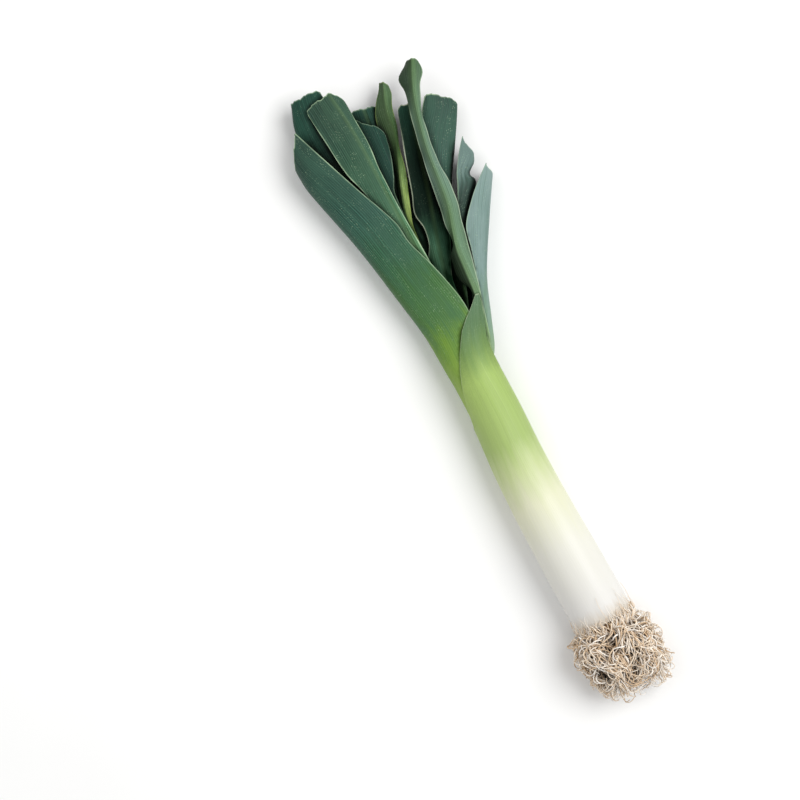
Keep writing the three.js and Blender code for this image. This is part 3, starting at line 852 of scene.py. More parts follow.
# %% Groups
def new_group(name, inputs, outputs):
    """A shader node group. Each input and output is a name with a number or a colour to start."""
    tree = bpy.data.node_groups.new(name, "ShaderNodeTree")
    for way, sockets in (("INPUT", inputs), ("OUTPUT", outputs)):
        for label, value in sockets.items():
            kind = "NodeSocketColor" if isinstance(value, tuple) else "NodeSocketFloat"
            socket = tree.interface.new_socket(label, in_out=way, socket_type=kind)
            socket.default_value = value
    print("group:", name, "gives", ", ".join(outputs))
    return tree, tree.nodes.new("NodeGroupInput").outputs, tree.nodes.new("NodeGroupOutput").inputs


def placed(tree, group, **inputs):
    """A group put into a material with its own values; underscores stand for spaces."""
    return node(tree, "ShaderNodeGroup", dict(node_tree=group), **inputs).outputs


print("groups so far:", len(bpy.data.node_groups))

# %% [markdown]
# ## Veins
# A leek's veins run side by side from the sheath to the tip. Waves across the leaf, read from the
# distance to the keel, give evenly spaced ridges. Slow noise makes them waver and lets some stripes
# be lighter than others, because a ruled pattern would look printed. The relief is held back on
# the white end, whose skin is taut and smooth.

# %% The vein group
# Noise and masks run from 0 to 1, so this is their middle.
MASK_MIDDLE = 0.5
VEIN_DRIFT_SCALE = (0.12, 0.016)
STRIPE_SCALE = (0.9, 0.006)
RIDGE_RANGE = (-0.15, 1.0)
RIDGE_MEAN = 0.38
STREAK_RANGE = (0.3, 0.7)
STREAK_GAIN = (0.5, 1.5)
STREAK_RELIEF = 1.4
RELIEF_RANGE = (60.0, 200.0)
RELIEF_AT_FOOT = 0.1


def make_vein_group():
    tree, given, result = new_group(
        "Leaf veins", {"Across mm": 0.0, "Length mm": 0.0, "Spacing mm": 1.1, "Waver mm": 1.6},
        {"Ridge": 0.0, "Streak": 0.0, "Relief": 0.0})
    across, length = given["Across mm"], given["Length mm"]
    drift = flat_noise(tree, stretched(tree, across, length, *VEIN_DRIFT_SCALE), detail=2.0)
    moved = product(tree, added(tree, drift, -MASK_MIDDLE), given["Waver mm"])
    count = math_node(tree, "DIVIDE", added(tree, across, moved), given["Spacing mm"])
    wave = math_node(tree, "SINE", product(tree, count, 2 * math.pi))
    ridge = between(tree, wave, *RIDGE_RANGE)
    stripes = flat_noise(tree, stretched(tree, count, length, *STRIPE_SCALE), detail=3.0, roughness=0.6)
    streak = between(tree, stripes, *STREAK_RANGE)
    gain = between(tree, streak, 0.0, 1.0, *STREAK_GAIN)
    ridge = added(tree, product(tree, added(tree, ridge, -RIDGE_MEAN), gain), MASK_MIDDLE)
    relief = added(tree, ridge, product(tree, streak, STREAK_RELIEF))
    risen = product(tree, relief, between(tree, length, *RELIEF_RANGE, RELIEF_AT_FOOT, 1.0))
    feed(tree, result["Ridge"], ridge)
    feed(tree, result["Streak"], streak)
    feed(tree, result["Relief"], risen)
    return tree


vein_group = make_vein_group()

# %% [markdown]
# ## Bloom and specks
# The waxy bloom that makes a leek's leaves look blue lies in soft patches, rubbed off here and
# there, and tiny pale specks are scattered over it. Large noise stretched along the leaf gives the
# patches, and a cell texture with small round cores, thinned by more noise, gives the specks.

# %% The bloom group
BLOOM_SCALE = (0.11, 0.03)
BLOOM_RANGE = (0.34, 0.68)
SPECK_SCALE = (0.78, 0.55)
SPECK_CORE = 0.05
CROWDING_SCALE = 0.21
CROWDING_RANGE = (0.49, 0.7)


def make_bloom_group():
    tree, given, result = new_group(
        "Bloom and specks", {"Across mm": 0.0, "Length mm": 0.0, "Speck size": 0.17},
        {"Bloom": 0.0, "Specks": 0.0})
    across, length = given["Across mm"], given["Length mm"]
    patches = flat_noise(tree, stretched(tree, across, length, *BLOOM_SCALE), detail=4.0, roughness=0.62)
    place = stretched(tree, across, length, *SPECK_SCALE)
    cells = node(tree, "ShaderNodeTexVoronoi", dict(voronoi_dimensions="2D"), Vector=place, Scale=1.0)
    cores = between(tree, cells.outputs["Distance"], given["Speck size"], SPECK_CORE)
    crowding = flat_noise(tree, place, detail=3.0, scale=CROWDING_SCALE, roughness=0.7)
    feed(tree, result["Bloom"], between(tree, patches, *BLOOM_RANGE))
    feed(tree, result["Specks"], product(tree, cores, between(tree, crowding, *CROWDING_RANGE)))
    return tree


bloom_group = make_bloom_group()

# %% [markdown]
# ## Where the colours change
# The bands of colour up the leek don't end in a line: green runs down between the veins and each
# sheath was covered to a slightly different height. Streaks and bloom shift the length at which a
# colour is read, which frays every change of colour at once. A ramp of colours runs from 0 to 1, so
# the group gives the length as a share of the way to just past the longest tip.

# %% The frayed length group
LEEK_LENGTH = 370


def make_length_group():
    tree, given, result = new_group(
        "Frayed length", {"Length mm": 0.0, "Streak": 0.5, "Bloom": 0.5, "Fray mm": 6.0, "Patch mm": 8.0},
        {"Share": 0.0})
    frayed = product(tree, added(tree, given["Streak"], -MASK_MIDDLE), given["Fray mm"])
    patchy = product(tree, added(tree, given["Bloom"], -MASK_MIDDLE), given["Patch mm"])
    reached = added(tree, given["Length mm"], added(tree, frayed, patchy))
    feed(tree, result["Share"], math_node(tree, "DIVIDE", reached, LEEK_LENGTH, clamp=True))
    return tree


length_group = make_length_group()

# %% [markdown]
# ## Tinted veins
# Veins and streaks multiply the colour by a little more or less than one, so they add detail and
# leave the average colour as it is. They fade out on the white end and under thick bloom.

# %% The vein tint group
FAINTEST_VEINS = 0.05
RUBBED_RANGE = (0.1, 0.9)
RUBBED_VEINS = 1.4
WAXED_VEINS = 0.35


def make_tint_group():
    tree, given, result = new_group(
        "Vein tint",
        {"Colour": WHITE, "Ridge": 0.5, "Streak": 0.5, "Bloom": 0.0, "Length mm": 0.0,
         "Veined from mm": 70.0, "Veined to mm": 190.0, "Vein strength": 0.26, "Streak strength": 0.5},
        {"Colour": WHITE})
    green = between(tree, given["Length mm"], given["Veined from mm"], given["Veined to mm"],
                    FAINTEST_VEINS, 1.0)
    rubbed = between(tree, given["Bloom"], *RUBBED_RANGE, RUBBED_VEINS, WAXED_VEINS)
    raised = added(tree, given["Ridge"], -MASK_MIDDLE)
    rise = product(tree, raised, green, rubbed, given["Vein strength"])
    striped = added(tree, given["Streak"], -MASK_MIDDLE)
    band = product(tree, striped, green, given["Streak strength"])
    gain = added(tree, rise, band, 1.0)
    feed(tree, result["Colour"], blend_colour(tree, 1.0, given["Colour"], gain, "MULTIPLY"))
    return tree


tint_group = make_tint_group()

# %% [markdown]
# ## Wax on the blades
# Only the blades carry bloom and specks: the sheaths below stay clean and shiny. The bloom tints each
# leaf towards a greyer tone of its own, and the specks are a pale grey-green.

# %% The wax group
SPECK_TONE = tone(176, 202, 164)
LEAFY_RANGE = (150.0, 215.0)
SPECKED_RANGE = (150.0, 185.0)


def make_wax_group():
    tree, given, result = new_group(
        "Wax", {"Colour": WHITE, "Bloom": 0.0, "Specks": 0.0, "Length mm": 0.0,
                "Bloom tone": WHITE, "Bloom strength": 0.3, "Speck strength": 0.7}, {"Colour": WHITE})
    length = given["Length mm"]
    waxed = product(tree, given["Bloom"], between(tree, length, *LEAFY_RANGE), given["Bloom strength"])
    colour = blend_colour(tree, waxed, given["Colour"], given["Bloom tone"])
    specked = product(tree, given["Specks"], between(tree, length, *SPECKED_RANGE),
                      given["Speck strength"])
    feed(tree, result["Colour"], blend_colour(tree, specked, colour, SPECK_TONE))
    return tree


wax_group = make_wax_group()

# %% [markdown]
# ## Keel and margins
# Along the middle of a blade runs the keel, the thick fold, often a lighter stripe. Its margins are
# thin and nearly colourless, so light catches them as a pale line. The distance to the margin is
# carried by the mesh, so the line follows every wave of the leaf.

# %% The keel and margin group
KEEL_FADE = (0.2, 1.4)
MARGIN_WIDTH = 0.8
MARGIN_CORE = 0.35
MARGIN_BLOOM_RANGE = (0.2, 0.7)
MARGIN_UNEVENNESS = (0.6, 1.2)


def make_edge_group():
    tree, given, result = new_group(
        "Keel and margin",
        {"Colour": WHITE, "Across mm": 0.0, "Length mm": 0.0, "Edge mm": 9.0, "Bloom": 0.0,
         "Keel tone": WHITE, "Keel width mm": 1.4, "Keel strength": 0.2,
         "Margin tone": WHITE, "Margin strength": 0.5}, {"Colour": WHITE})
    off_keel = math_node(tree, "ABSOLUTE", given["Across mm"])
    beyond = math_node(tree, "DIVIDE", off_keel, given["Keel width mm"])
    leafy = between(tree, given["Length mm"], *LEAFY_RANGE)
    rib = product(tree, between(tree, beyond, *KEEL_FADE, 1.0, 0.0), leafy, given["Keel strength"])
    colour = blend_colour(tree, rib, given["Colour"], given["Keel tone"])
    thin = between(tree, given["Edge mm"], MARGIN_CORE * MARGIN_WIDTH, MARGIN_WIDTH, 1.0, 0.0)
    uneven = between(tree, given["Bloom"], *MARGIN_BLOOM_RANGE, *MARGIN_UNEVENNESS)
    rim = product(tree, thin, uneven, given["Margin strength"])
    feed(tree, result["Colour"], blend_colour(tree, rim, colour, given["Margin tone"]))
    return tree


edge_group = make_edge_group()

# %% [markdown]
# ## Shade in the hollows
# The openness stored above darkens a leaf deep in the fan. A deep leaf is also matt, because no
# bright sky is left for it to mirror. The two arms of a folded leaf face the light differently and
# have grown in different light too, so each may be made darker or lighter.

# %% The hollow group
OPEN_RANGE = (0.48, 0.88)
# The share of its red, green and blue light that a leaf keeps in the deepest hollow.
HOLLOW_TONE = (0.035, 0.085, 0.055, 1.0)
HOLLOW_DULLNESS = 0.35
KEEL_HALF_WIDTH = 0.5


def make_hollow_group():
    tree, given, result = new_group(
        "Hollow shade", {"Colour": WHITE, "Across mm": 0.0, "Length mm": 0.0, "Openness": 1.0,
                         "First arm": 1.0, "Second arm": 1.0}, {"Colour": WHITE, "Dullness": 0.0})
    lit = between(tree, given["Openness"], *OPEN_RANGE)
    shade = blend_colour(tree, lit, HOLLOW_TONE, WHITE)
    arm = between(tree, given["Across mm"], -KEEL_HALF_WIDTH, KEEL_HALF_WIDTH,
                  given["First arm"], given["Second arm"])
    both = blend_colour(tree, 1.0, shade, arm, "MULTIPLY")
    shaded = blend_colour(tree, 1.0, given["Colour"], both, "MULTIPLY")
    leafy = between(tree, given["Length mm"], *LEAFY_RANGE)
    feed(tree, result["Colour"], blend_colour(tree, leafy, given["Colour"], shaded))
    feed(tree, result["Dullness"], between(tree, lit, 0.0, 1.0, HOLLOW_DULLNESS, 0.0))
    return tree


hollow_group = make_hollow_group()

# %% [markdown]
# ## One recipe for every leaf
# Every leaf shares one recipe: white at the roots, then pale yellow-green, then blue-green, with
# veins, bloom, specks and a thin pale margin. What differs is where along the leek the colours
# change and how blue or bright they get, so a recipe's values come with each finish below.

# %% The values of a leaf finish
PLAIN_LEAF = dict(
    vein_strength=0.26, streak_strength=0.5, veined=(70.0, 190.0), spacing=1.25, fray=1.0,
    bloom_strength=0.3, speck_strength=0.7, roughness=0.48, mirror=0.24,
    keel_tone=(110, 140, 84), keel_width=1.4, keel_strength=0.18,
    margin_tone=(168, 196, 162), margin_strength=0.42, arms=(1.0, 1.0), arm_changes=())
FRAY_LENGTH = 6.0
PATCH_LENGTH = 8.0
print("values in a leaf's recipe:", len(PLAIN_LEAF))

# %% [markdown]
# Each finish starts from a new material with its own shader, and the bands of colour are a ramp: a
# list of places and the tones there, with all that lies between them blended.

# %% A new material and a ramp
def new_material(name):
    """A material, its tree and the inputs of its shader."""
    material = bpy.data.materials.new(name)
    material.use_nodes = True
    tree = material.node_tree
    return material, tree, tree.nodes["Principled BSDF"].inputs


def colour_ramp(tree, share, stops):
    """A ramp of colours, the stops as (share, colour). New stops go in anywhere, then are moved."""
    ramp = node(tree, "ShaderNodeValToRGB", Fac=share)
    while len(ramp.color_ramp.elements) < len(stops):
        ramp.color_ramp.elements.new(0.5)
    for element, (position, colour) in zip(ramp.color_ramp.elements, stops):
        element.position = position
        element.color = tone(*colour)
    return ramp.outputs["Color"]


print("materials so far:", len(bpy.data.materials))

# %% [markdown]
# ## The colour of a leaf
# The groups are placed one after another, each taking the colour that the last one gave. The order
# is that of the real leaf: first its own colour and veins, then the wax on it, then the bare keel
# and margin, and last the shade of the leaves above.

# %% From the roots' white to the leaf's own colour
def banded_colour(tree, recipe, stops, at, veins, bloom):
    """The colour bands of a leaf, with its veins and its wax."""
    length = at["Length_mm"]
    share = placed(tree, length_group, Length_mm=length, Streak=veins["Streak"], Bloom=bloom["Bloom"],
                   Fray_mm=FRAY_LENGTH * recipe["fray"], Patch_mm=PATCH_LENGTH * recipe["fray"])
    colour = colour_ramp(tree, share["Share"], [(mm / LEEK_LENGTH, seen) for mm, seen in stops])
    veined_from, veined_to = recipe["veined"]
    colour = placed(tree, tint_group, Colour=colour, Ridge=veins["Ridge"], Streak=veins["Streak"],
                    Bloom=bloom["Bloom"], Length_mm=length, Veined_from_mm=veined_from,
                    Veined_to_mm=veined_to, Vein_strength=recipe["vein_strength"],
                    Streak_strength=recipe["streak_strength"])["Colour"]
    return placed(tree, wax_group, Colour=colour, Bloom=bloom["Bloom"], Specks=bloom["Specks"],
                  Length_mm=length, Bloom_tone=tone(*recipe["bloom_tone"]),
                  Bloom_strength=recipe["bloom_strength"],
                  Speck_strength=recipe["speck_strength"])["Colour"]


def edged_and_shaded(tree, recipe, colour, at, bloom):
    """Adds the keel and margins to a colour, then shades it. Gives Colour and Dullness."""
    edged = placed(tree, edge_group, Colour=colour, Edge_mm=fact(tree, "edge_mm"), Bloom=bloom["Bloom"],
                   Keel_tone=tone(*recipe["keel_tone"]), Keel_width_mm=recipe["keel_width"],
                   Keel_strength=recipe["keel_strength"], Margin_tone=tone(*recipe["margin_tone"]),
                   Margin_strength=recipe["margin_strength"], **at)["Colour"]
    first_arm, second_arm = recipe["arms"]
    for low, high, before, after in recipe["arm_changes"]:
        change = between(tree, at["Length_mm"], low, high, before, after)
        first_arm = product(tree, change, first_arm)
    return placed(tree, hollow_group, Colour=edged, Openness=fact(tree, "openness"),
                  First_arm=first_arm, Second_arm=second_arm, **at)


print("groups placed in each leaf finish:", len(bpy.data.node_groups))

# %% [markdown]
# The shader itself stays in the material. Bloom makes the skin rougher, and the veins reach it as a
# bump, because ridges a tenth of a millimetre high would need millions of faces as real shapes.

# %% The leaf finish
VEIN_DEPTH = 0.00014
VEIN_BUMP = 0.6
SMOOTHER = 0.06
ROUGHER = 0.1
leaf_finishes = {}
print("veins stand up by", VEIN_DEPTH / MM, "mm")


def leaf_finish(name, stops, **changes):
    """stops are (millimetres from the roots, colour). The changes replace values of PLAIN_LEAF."""
    recipe = PLAIN_LEAF | changes
    material, tree, shader = new_material(name + "_finish")
    at = dict(Across_mm=fact(tree, "across_mm"), Length_mm=fact(tree, "length_mm"))
    veins = placed(tree, vein_group, Spacing_mm=recipe["spacing"], **at)
    bloom = placed(tree, bloom_group, **at)
    colour = banded_colour(tree, recipe, stops, at, veins, bloom)
    shade = edged_and_shaded(tree, recipe, colour, at, bloom)
    feed(tree, shader["Base Color"], shade["Colour"])
    plain = recipe["roughness"]
    waxy = between(tree, bloom["Bloom"], 0.0, 1.0, plain - SMOOTHER, plain + ROUGHER)
    feed(tree, shader["Roughness"], added(tree, waxy, shade["Dullness"]))
    bump = node(tree, "ShaderNodeBump", Height=veins["Relief"], Strength=VEIN_BUMP, Distance=VEIN_DEPTH)
    feed(tree, shader["Normal"], bump.outputs["Normal"])
    shader["Specular IOR Level"].default_value = recipe["mirror"]
    leaf_finishes[name] = material
    print("finish:", material.name, "with", len(tree.nodes), "nodes")


# %% [markdown]
# ## The sheath's finish
# The shaft is white where it grew in the dark, covered with soil. Near its middle it turns a pale
# yellow-green and at its upper end green. Its skin is taut, so its veins are faint and no keel shows.

# %% The sheath
WHITE_END = [(0, (205, 195, 180)), (12, (219, 217, 213)), (52, (220, 219, 208))]
leaf_finish(
    "sheath",
    WHITE_END + [(82, (216, 217, 188)), (104, (190, 202, 148)), (122, (158, 180, 108)),
                 (164, (156, 182, 98)), (180, (112, 142, 76)), (194, (88, 120, 78)), (212, (80, 112, 82))],
    bloom_tone=(128, 158, 118), vein_strength=0.16, streak_strength=0.24, bloom_strength=0.15,
    roughness=0.4, fray=0.6, keel_strength=0.0, margin_tone=(190, 206, 168), margin_strength=0.55,
    spacing=1.4)

# %% [markdown]
# ## The broad blades' finish
# The broad blades are dark blue-green with a yellower throat and clear pale veins. `arms` says how
# bright the first and the second arm are. The second one, on the right where a blade lies open, is
# turned to the light, so it is painted a little brighter: painted light. The blade that stands on top
# had more light as it grew, so its lower half is a fresher green. What the two finishes share is
# written once.

# %% The broad blades
BROAD = dict(vein_strength=0.54, arms=(1.0, 1.22), margin_tone=(178, 204, 166), margin_strength=0.6,
             veined=(172.0, 262.0))
leaf_finish(
    "broad_leaf",
    WHITE_END + [(130, (170, 192, 110)), (178, (124, 156, 58)), (190, (106, 142, 50)),
                 (206, (72, 112, 58)), (230, (60, 102, 52)), (250, (49, 91, 62)),
                 (280, (43, 82, 68)), (335, (30, 60, 48))],
    bloom_tone=(72, 112, 92), **BROAD)
leaf_finish(
    "standing_leaf",
    WHITE_END + [(130, (170, 192, 110)), (206, (104, 142, 84)), (240, (84, 122, 76)),
                 (264, (66, 106, 72)), (290, (45, 86, 62)), (340, (31, 62, 48))],
    bloom_tone=(82, 118, 90), **BROAD)

# %% [markdown]
# ## The grey leaves' finishes
# Three leaves carry the most bloom, which makes them pale and grey, so their bands of colour are
# pale already and blotches of bloom go over them. The long one folds its first arm, the left one,
# under at the throat and again at the tip. That arm faces away from the light and is painted darker
# all along, and darker still where it folds under: painted shade. `arm_changes` says from which
# length to which this arm changes from one strength to another.

# %% The long folded leaf
THROAT = [(150, (156, 182, 98))]
leaf_finish(
    "folded_leaf",
    WHITE_END + THROAT + [(196, (126, 158, 110)), (225, (93, 122, 90)), (258, (86, 114, 86)),
                          (290, (96, 122, 106)), (335, (86, 114, 84)), (352, (66, 92, 58))],
    bloom_tone=(124, 150, 138), bloom_strength=0.2, keel_tone=(104, 138, 80), keel_width=2.6,
    # arms and arm_changes paint shade on the first arm, darkest where it folds under.
    keel_strength=0.32, arms=(0.66, 0.98), arm_changes=[(236, 254, 0.32, 1.0), (326, 338, 1.0, 0.6)],
    margin_tone=(186, 204, 176), margin_strength=0.5, mirror=0.1, vein_strength=0.34,
    streak_strength=0.6)

# %% [markdown]
# The pointed leaf is pale all over. The curled one is pale only on the back of its tip; below it,
# its dark green is deepened with painted shade.

# %% The pointed and the curled leaf
leaf_finish(
    "grey_leaf",
    WHITE_END + THROAT + [(190, (112, 144, 112)), (220, (100, 128, 120)), (280, (118, 142, 136))],
    bloom_tone=(146, 166, 164), vein_strength=0.14, streak_strength=0.22, bloom_strength=0.5,
    roughness=0.54)
leaf_finish(
    "curled_leaf",
    # From 240 to 274 mm the dark green is deepened with painted shade.
    WHITE_END + THROAT + [(200, (70, 108, 54)), (240, (38, 68, 54)), (266, (31, 55, 45)),
                          (274, (52, 79, 69)), (280, (96, 120, 114)), (298, (94, 118, 112))],
    bloom_tone=(110, 136, 128), vein_strength=0.12, streak_strength=0.16, bloom_strength=0.25,
    roughness=0.52)

# %% [markdown]
# ## The inner leaves' finishes
# The leaves behind are darker, their own deep green deepened with painted shade, mirror less and
# have few specks. The inner one is paler at its foot, where it shows in the gap of the throat, and
# above it is painted nearly black, a painted shadow of the leaves over it. The young one is
# yellow-green.

# %% The dark, inner and young leaves
leaf_finish(
    "dark_leaf",
    # Dark greens: the leaf's own colour deepened with painted shade.
    WHITE_END + THROAT + [(205, (70, 108, 54)), (240, (36, 72, 48)), (290, (24, 56, 46)),
                          (350, (30, 66, 54))],
    bloom_tone=(44, 84, 68), bloom_strength=0.25, speck_strength=0.3, roughness=0.5,
    margin_strength=0.45, mirror=0.14)
leaf_finish(
    "inner_leaf",
    WHITE_END + THROAT + [(205, (112, 156, 104)), (228, (98, 142, 108)), (248, (66, 108, 82)),
                          # From 270 to 300 mm: painted shadow of the leaves lying over this one.
                          (270, (9, 27, 17)), (300, (9, 26, 17)), (335, (31, 65, 51))],
    bloom_tone=(52, 88, 72), bloom_strength=0.16, speck_strength=0.2, roughness=0.5,
    margin_tone=(196, 206, 178), margin_strength=0.8, mirror=0.07)
leaf_finish(
    "young_leaf",
    WHITE_END + [(180, (160, 184, 90)), (262, (152, 172, 84)), (292, (116, 144, 78)),
                 (308, (64, 96, 48)), (322, (56, 88, 44)), (345, (78, 110, 72))],
    bloom_tone=(110, 140, 86), bloom_strength=0.2, arms=(0.5, 1.0), margin_tone=(170, 190, 96))

# %% [markdown]
# ## Place the leaves
# Each finer leaf stands for the frame's solid of the same name, which stays in the physics.

# %% Put a mesh in the scene
def place_piece(mesh, name, material, stands_for):
    """Puts a mesh in the scene with smooth faces, a finish and its place in the frame."""
    piece = bpy.data.objects.new(name, mesh)
    bpy.context.scene.collection.objects.link(piece)
    mesh.shade_smooth()
    mesh.materials.append(material)
    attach(piece, "root")
    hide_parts(stands_for)
    print(name, "has", len(mesh.polygons), "faces")


# %% [markdown]
# All faces are shaded smooth, but where two of them meet at a sharp angle, as at a cut tip, the edge
# between them is marked sharp and stays crisp.

# %% The twelve leaves
SHARP_EDGE = 50
for leaf, (mesh, _) in zip(LEAVES, made_leaves):
    finish = leaf["finish"]
    mesh.set_sharp_from_angle(angle=math.radians(SHARP_EDGE))
    place_piece(mesh, leaf["name"] + "_skin", leaf_finishes[finish], leaf["name"])

# %% [markdown]
# ## The roots' outline
# About two thousand thin roots leave the basal plate, wander and curl as they grew through the soil,
# and dry to a tangle. Washed and trimmed, the tuft is a blunt egg that leans a little to one side,
# so its outline is an ellipsoid with a higher power than two, and roots that reach it turn back.

# %% The outline of the tuft
TUFT_CENTRE = np.array([-20.0, 0.0, 17.5])
TUFT_REACH = np.array([26.5, 24.0, 19.5])
TUFT_BLUNTNESS = 2.7
TUFT_SLANT = -0.1
axis_y = float(along(SHAFT_BOW, 0))
axis_z = float(axis_height(0.0))


def tuft_share(point):
    """Where points lie in the tuft's outline: offsets from its middle, and 1 at its edge."""
    centre = TUFT_CENTRE + np.outer(TUFT_CENTRE[0] - point[:, 0], [0, TUFT_SLANT, 0])
    offset = (point - centre) / TUFT_REACH
    return offset, (np.abs(offset) ** TUFT_BLUNTNESS).sum(axis=1) ** (1 / TUFT_BLUNTNESS)


print("the plate's middle lies at this share of the tuft:",
      tuft_share(np.array([[0.0, axis_y, axis_z]]))[1].round(2))

# %% [markdown]
# ## Walking the roots
# Each root is walked in short steps whose heading drifts. Hair curves would be quicker to make but
# are not a mesh, so they could not be kept with the part. All roots take each step together, as
# rows of one array, which keeps the walk fast. A smooth swirl turns neighbours the same way, so the
# roots lie in locks, as they do when they dry.

# %% Swirl and starting points
SWIRL_WAVES = 7
SWIRL_LENGTHS = (13, 34)
AWAY = np.array([-1.0, 0, 0])
PLATE_RADIUS = 16.0
FIRST_WANDER = 0.12


def flow_field(rng):
    """A smooth swirl: roots near each other are turned the same way by it."""
    direction = unit(rng.normal(0, 1, (SWIRL_WAVES, 3)))
    length = rng.uniform(*SWIRL_LENGTHS, (SWIRL_WAVES, 1))
    along_wave = direction * (2 * math.pi / length)
    push = unit(rng.normal(0, 1, (SWIRL_WAVES, 3)))
    phase = rng.uniform(0, 2 * math.pi, SWIRL_WAVES)
    return lambda point: np.sin(point @ along_wave.T + phase) @ push / math.sqrt(SWIRL_WAVES)


def root_starts(rng, count, start_x, spread_power, side_lean):
    """Where the roots leave the plate and where they head."""
    around = rng.uniform(0, 2 * math.pi, count)
    spread = rng.uniform(0, 1, count) ** spread_power
    outwards = np.stack([np.zeros(count), np.cos(around), np.sin(around)], 1)
    point = outwards * (spread * PLATE_RADIUS)[:, None] + [0, axis_y, axis_z]
    point[:, 0] = rng.uniform(*start_x, count)
    lean = rng.uniform(*side_lean, count) * spread
    wander = rng.normal(0, FIRST_WANDER, (count, 3))
    return point, unit(AWAY + outwards * lean[:, None] + wander)


print("roots start within", PLATE_RADIUS, "mm of the axis")

# %% [markdown]
# At each step a root's curl changes a little, the swirl turns it, and it drifts away from the shaft
# and slightly down. Near the tuft's outline it is pulled back, and beside the shaft it is pushed
# away from it. The table stops it from sinking.

# %% The walk
ROOT_STEP = 1.3
ROOT_STEPS = 38
BURIED_LENGTH = 1.5
CURL_KEPT = 0.9
CURL_NEW = 0.43
CURL_SPREAD = (0.3, 1.7)
FLOW_STRENGTH = 0.24
DRIFT = [-0.1, 0, -0.02]
EDGE_SHARE = 0.93
EDGE_PULL = 3.0
PLATE_FACE = -1.0
PLATE_PUSH = 0.6
SURFACE_HEIGHT = 0.5


def walk_roots(rng, count, curl_strength, **start):
    """Lines of points, count x steps x 3, from inside the basal plate to the tips."""
    flow = flow_field(rng)
    point, heading = root_starts(rng, count, **start)
    curl = rng.normal(0, 1, (count, 3))
    strength = (curl_strength * rng.uniform(*CURL_SPREAD, count))[:, None]
    line = [point - heading * BURIED_LENGTH, point]
    for _ in range(ROOT_STEPS - 2):
        curl = CURL_KEPT * curl + CURL_NEW * rng.normal(0, 1, (count, 3))
        heading = heading + strength * curl + FLOW_STRENGTH * flow(point) + DRIFT
        offset, share = tuft_share(point)
        heading = heading - EDGE_PULL * np.maximum(share - EDGE_SHARE, 0)[:, None] * offset
        heading[:, 0] -= PLATE_PUSH * (point[:, 0] > PLATE_FACE)
        heading = unit(heading)
        point = point + heading * ROOT_STEP
        point[:, 2] = np.maximum(point[:, 2], SURFACE_HEIGHT)
        line.append(point)
    return np.stack(line, 1)


print("a root is at most", round(ROOT_STEP * ROOT_STEPS), "mm long")

# %% [markdown]
# ## Skinning the roots
# A root is skinned as a thin tube that tapers to its tip. A curve object with a bevel would do the
# same one by one; here rings of three points are laid round each line at once, since three sides
# are enough for a root half a millimetre thick. Each point also notes how deep in the tuft it lies
# and a tone of its root's own, for the finish.

# %% Skin a strand
ROOT_SIDES = 3
# A slanting direction that hardly any root runs along, so each ring can be turned from it.
SIDE_HINT = [0.31, 0.57, 0.76]
TAPER = 0.55


def tube_rings(line, radius):
    """Rings of a tapering tube round a line of points, steps x sides x 3."""
    forward = unit(np.gradient(line, axis=0))
    side = unit(np.cross(forward, SIDE_HINT))
    up = np.cross(forward, side)
    turn = np.linspace(0, 2 * math.pi, ROOT_SIDES, endpoint=False)
    taper = radius * (1 - TAPER * np.linspace(0, 1, len(line)) ** 2)
    ring = side[:, None] * np.cos(turn)[None, :, None] + up[:, None] * np.sin(turn)[None, :, None]
    return line[:, None] + ring * taper[:, None, None]


def strand_mesh(name, lines, radii, rng, shift):
    """One mesh with a tube round each line."""
    places, faces, depths, tones = [], [], [], []
    start = 0
    for line, radius in zip(lines, radii):
        points = len(line) * ROOT_SIDES
        corner = start + np.arange(points).reshape(len(line), ROOT_SIDES)
        after = np.roll(corner, -1, axis=1)
        faces += np.stack([corner[:-1], after[:-1], after[1:], corner[1:]], -1).reshape(-1, 4).tolist()
        faces += [corner[0][::-1].tolist(), corner[-1].tolist()]
        places.append(tube_rings(line, radius).reshape(-1, 3))
        depths.append(np.repeat(np.clip(1 - tuft_share(line)[1], 0, 1), ROOT_SIDES))
        tones.append(np.full(points, rng.uniform()))
        start += points
    mesh = bpy.data.meshes.new(name)
    mesh.from_pydata(((np.concatenate(places) + shift) * MM).tolist(), [], faces)
    add_numbers(mesh, "root_depth", np.concatenate(depths))
    add_numbers(mesh, "root_tone", np.concatenate(tones))
    print(name, "holds", len(lines), "roots")
    return mesh


# %% [markdown]
# ## Outer and inner roots
# The outer roots start close to the shaft and fan out; the inner ones start farther from it, near
# the plate's tip, and fill the tuft's heart. Two meshes keep each of them light enough to work with,
# and let the two be walked in different ways.

# %% The tangle
SHORTEST_STEPS = 16
ROOT_RADII = (0.4, 0.62)


def tangle_mesh(name, seed, shift, **walk):
    """Roots of many lengths, some cut short and some the full number of steps."""
    rng = np.random.default_rng(seed)
    lines = walk_roots(rng, **walk)
    steps = rng.integers(SHORTEST_STEPS, ROOT_STEPS + 1, len(lines))
    radii = rng.uniform(*ROOT_RADII, len(lines))
    return strand_mesh(name, [line[:n] for line, n in zip(lines, steps)], radii, rng, shift)


outer_roots = tangle_mesh("outer_roots", seed=7, shift=shift, count=1080, start_x=(-9.0, -0.5),
                          spread_power=0.5, side_lean=(0.1, 1.4), curl_strength=0.13)
inner_roots = tangle_mesh("inner_roots", seed=8, shift=shift, count=900, start_x=(-15.0, -8.0),
                          spread_power=0.8, side_lean=(0.0, 1.1), curl_strength=0.14)
print("points in both:", len(outer_roots.vertices) + len(inner_roots.vertices))

# %% [markdown]
# ## Roots over the foot of the shaft
# Some roots turn back over the foot of the shaft, and finer hairs stand on it, so that the white
# shaft does not end in a ruled line. They start on the plate's rim and run up over the outer
# sheath, just clear of it. They could be drawn by hand; here each is a short line with a swing, an
# arch and a wiggle of its own.

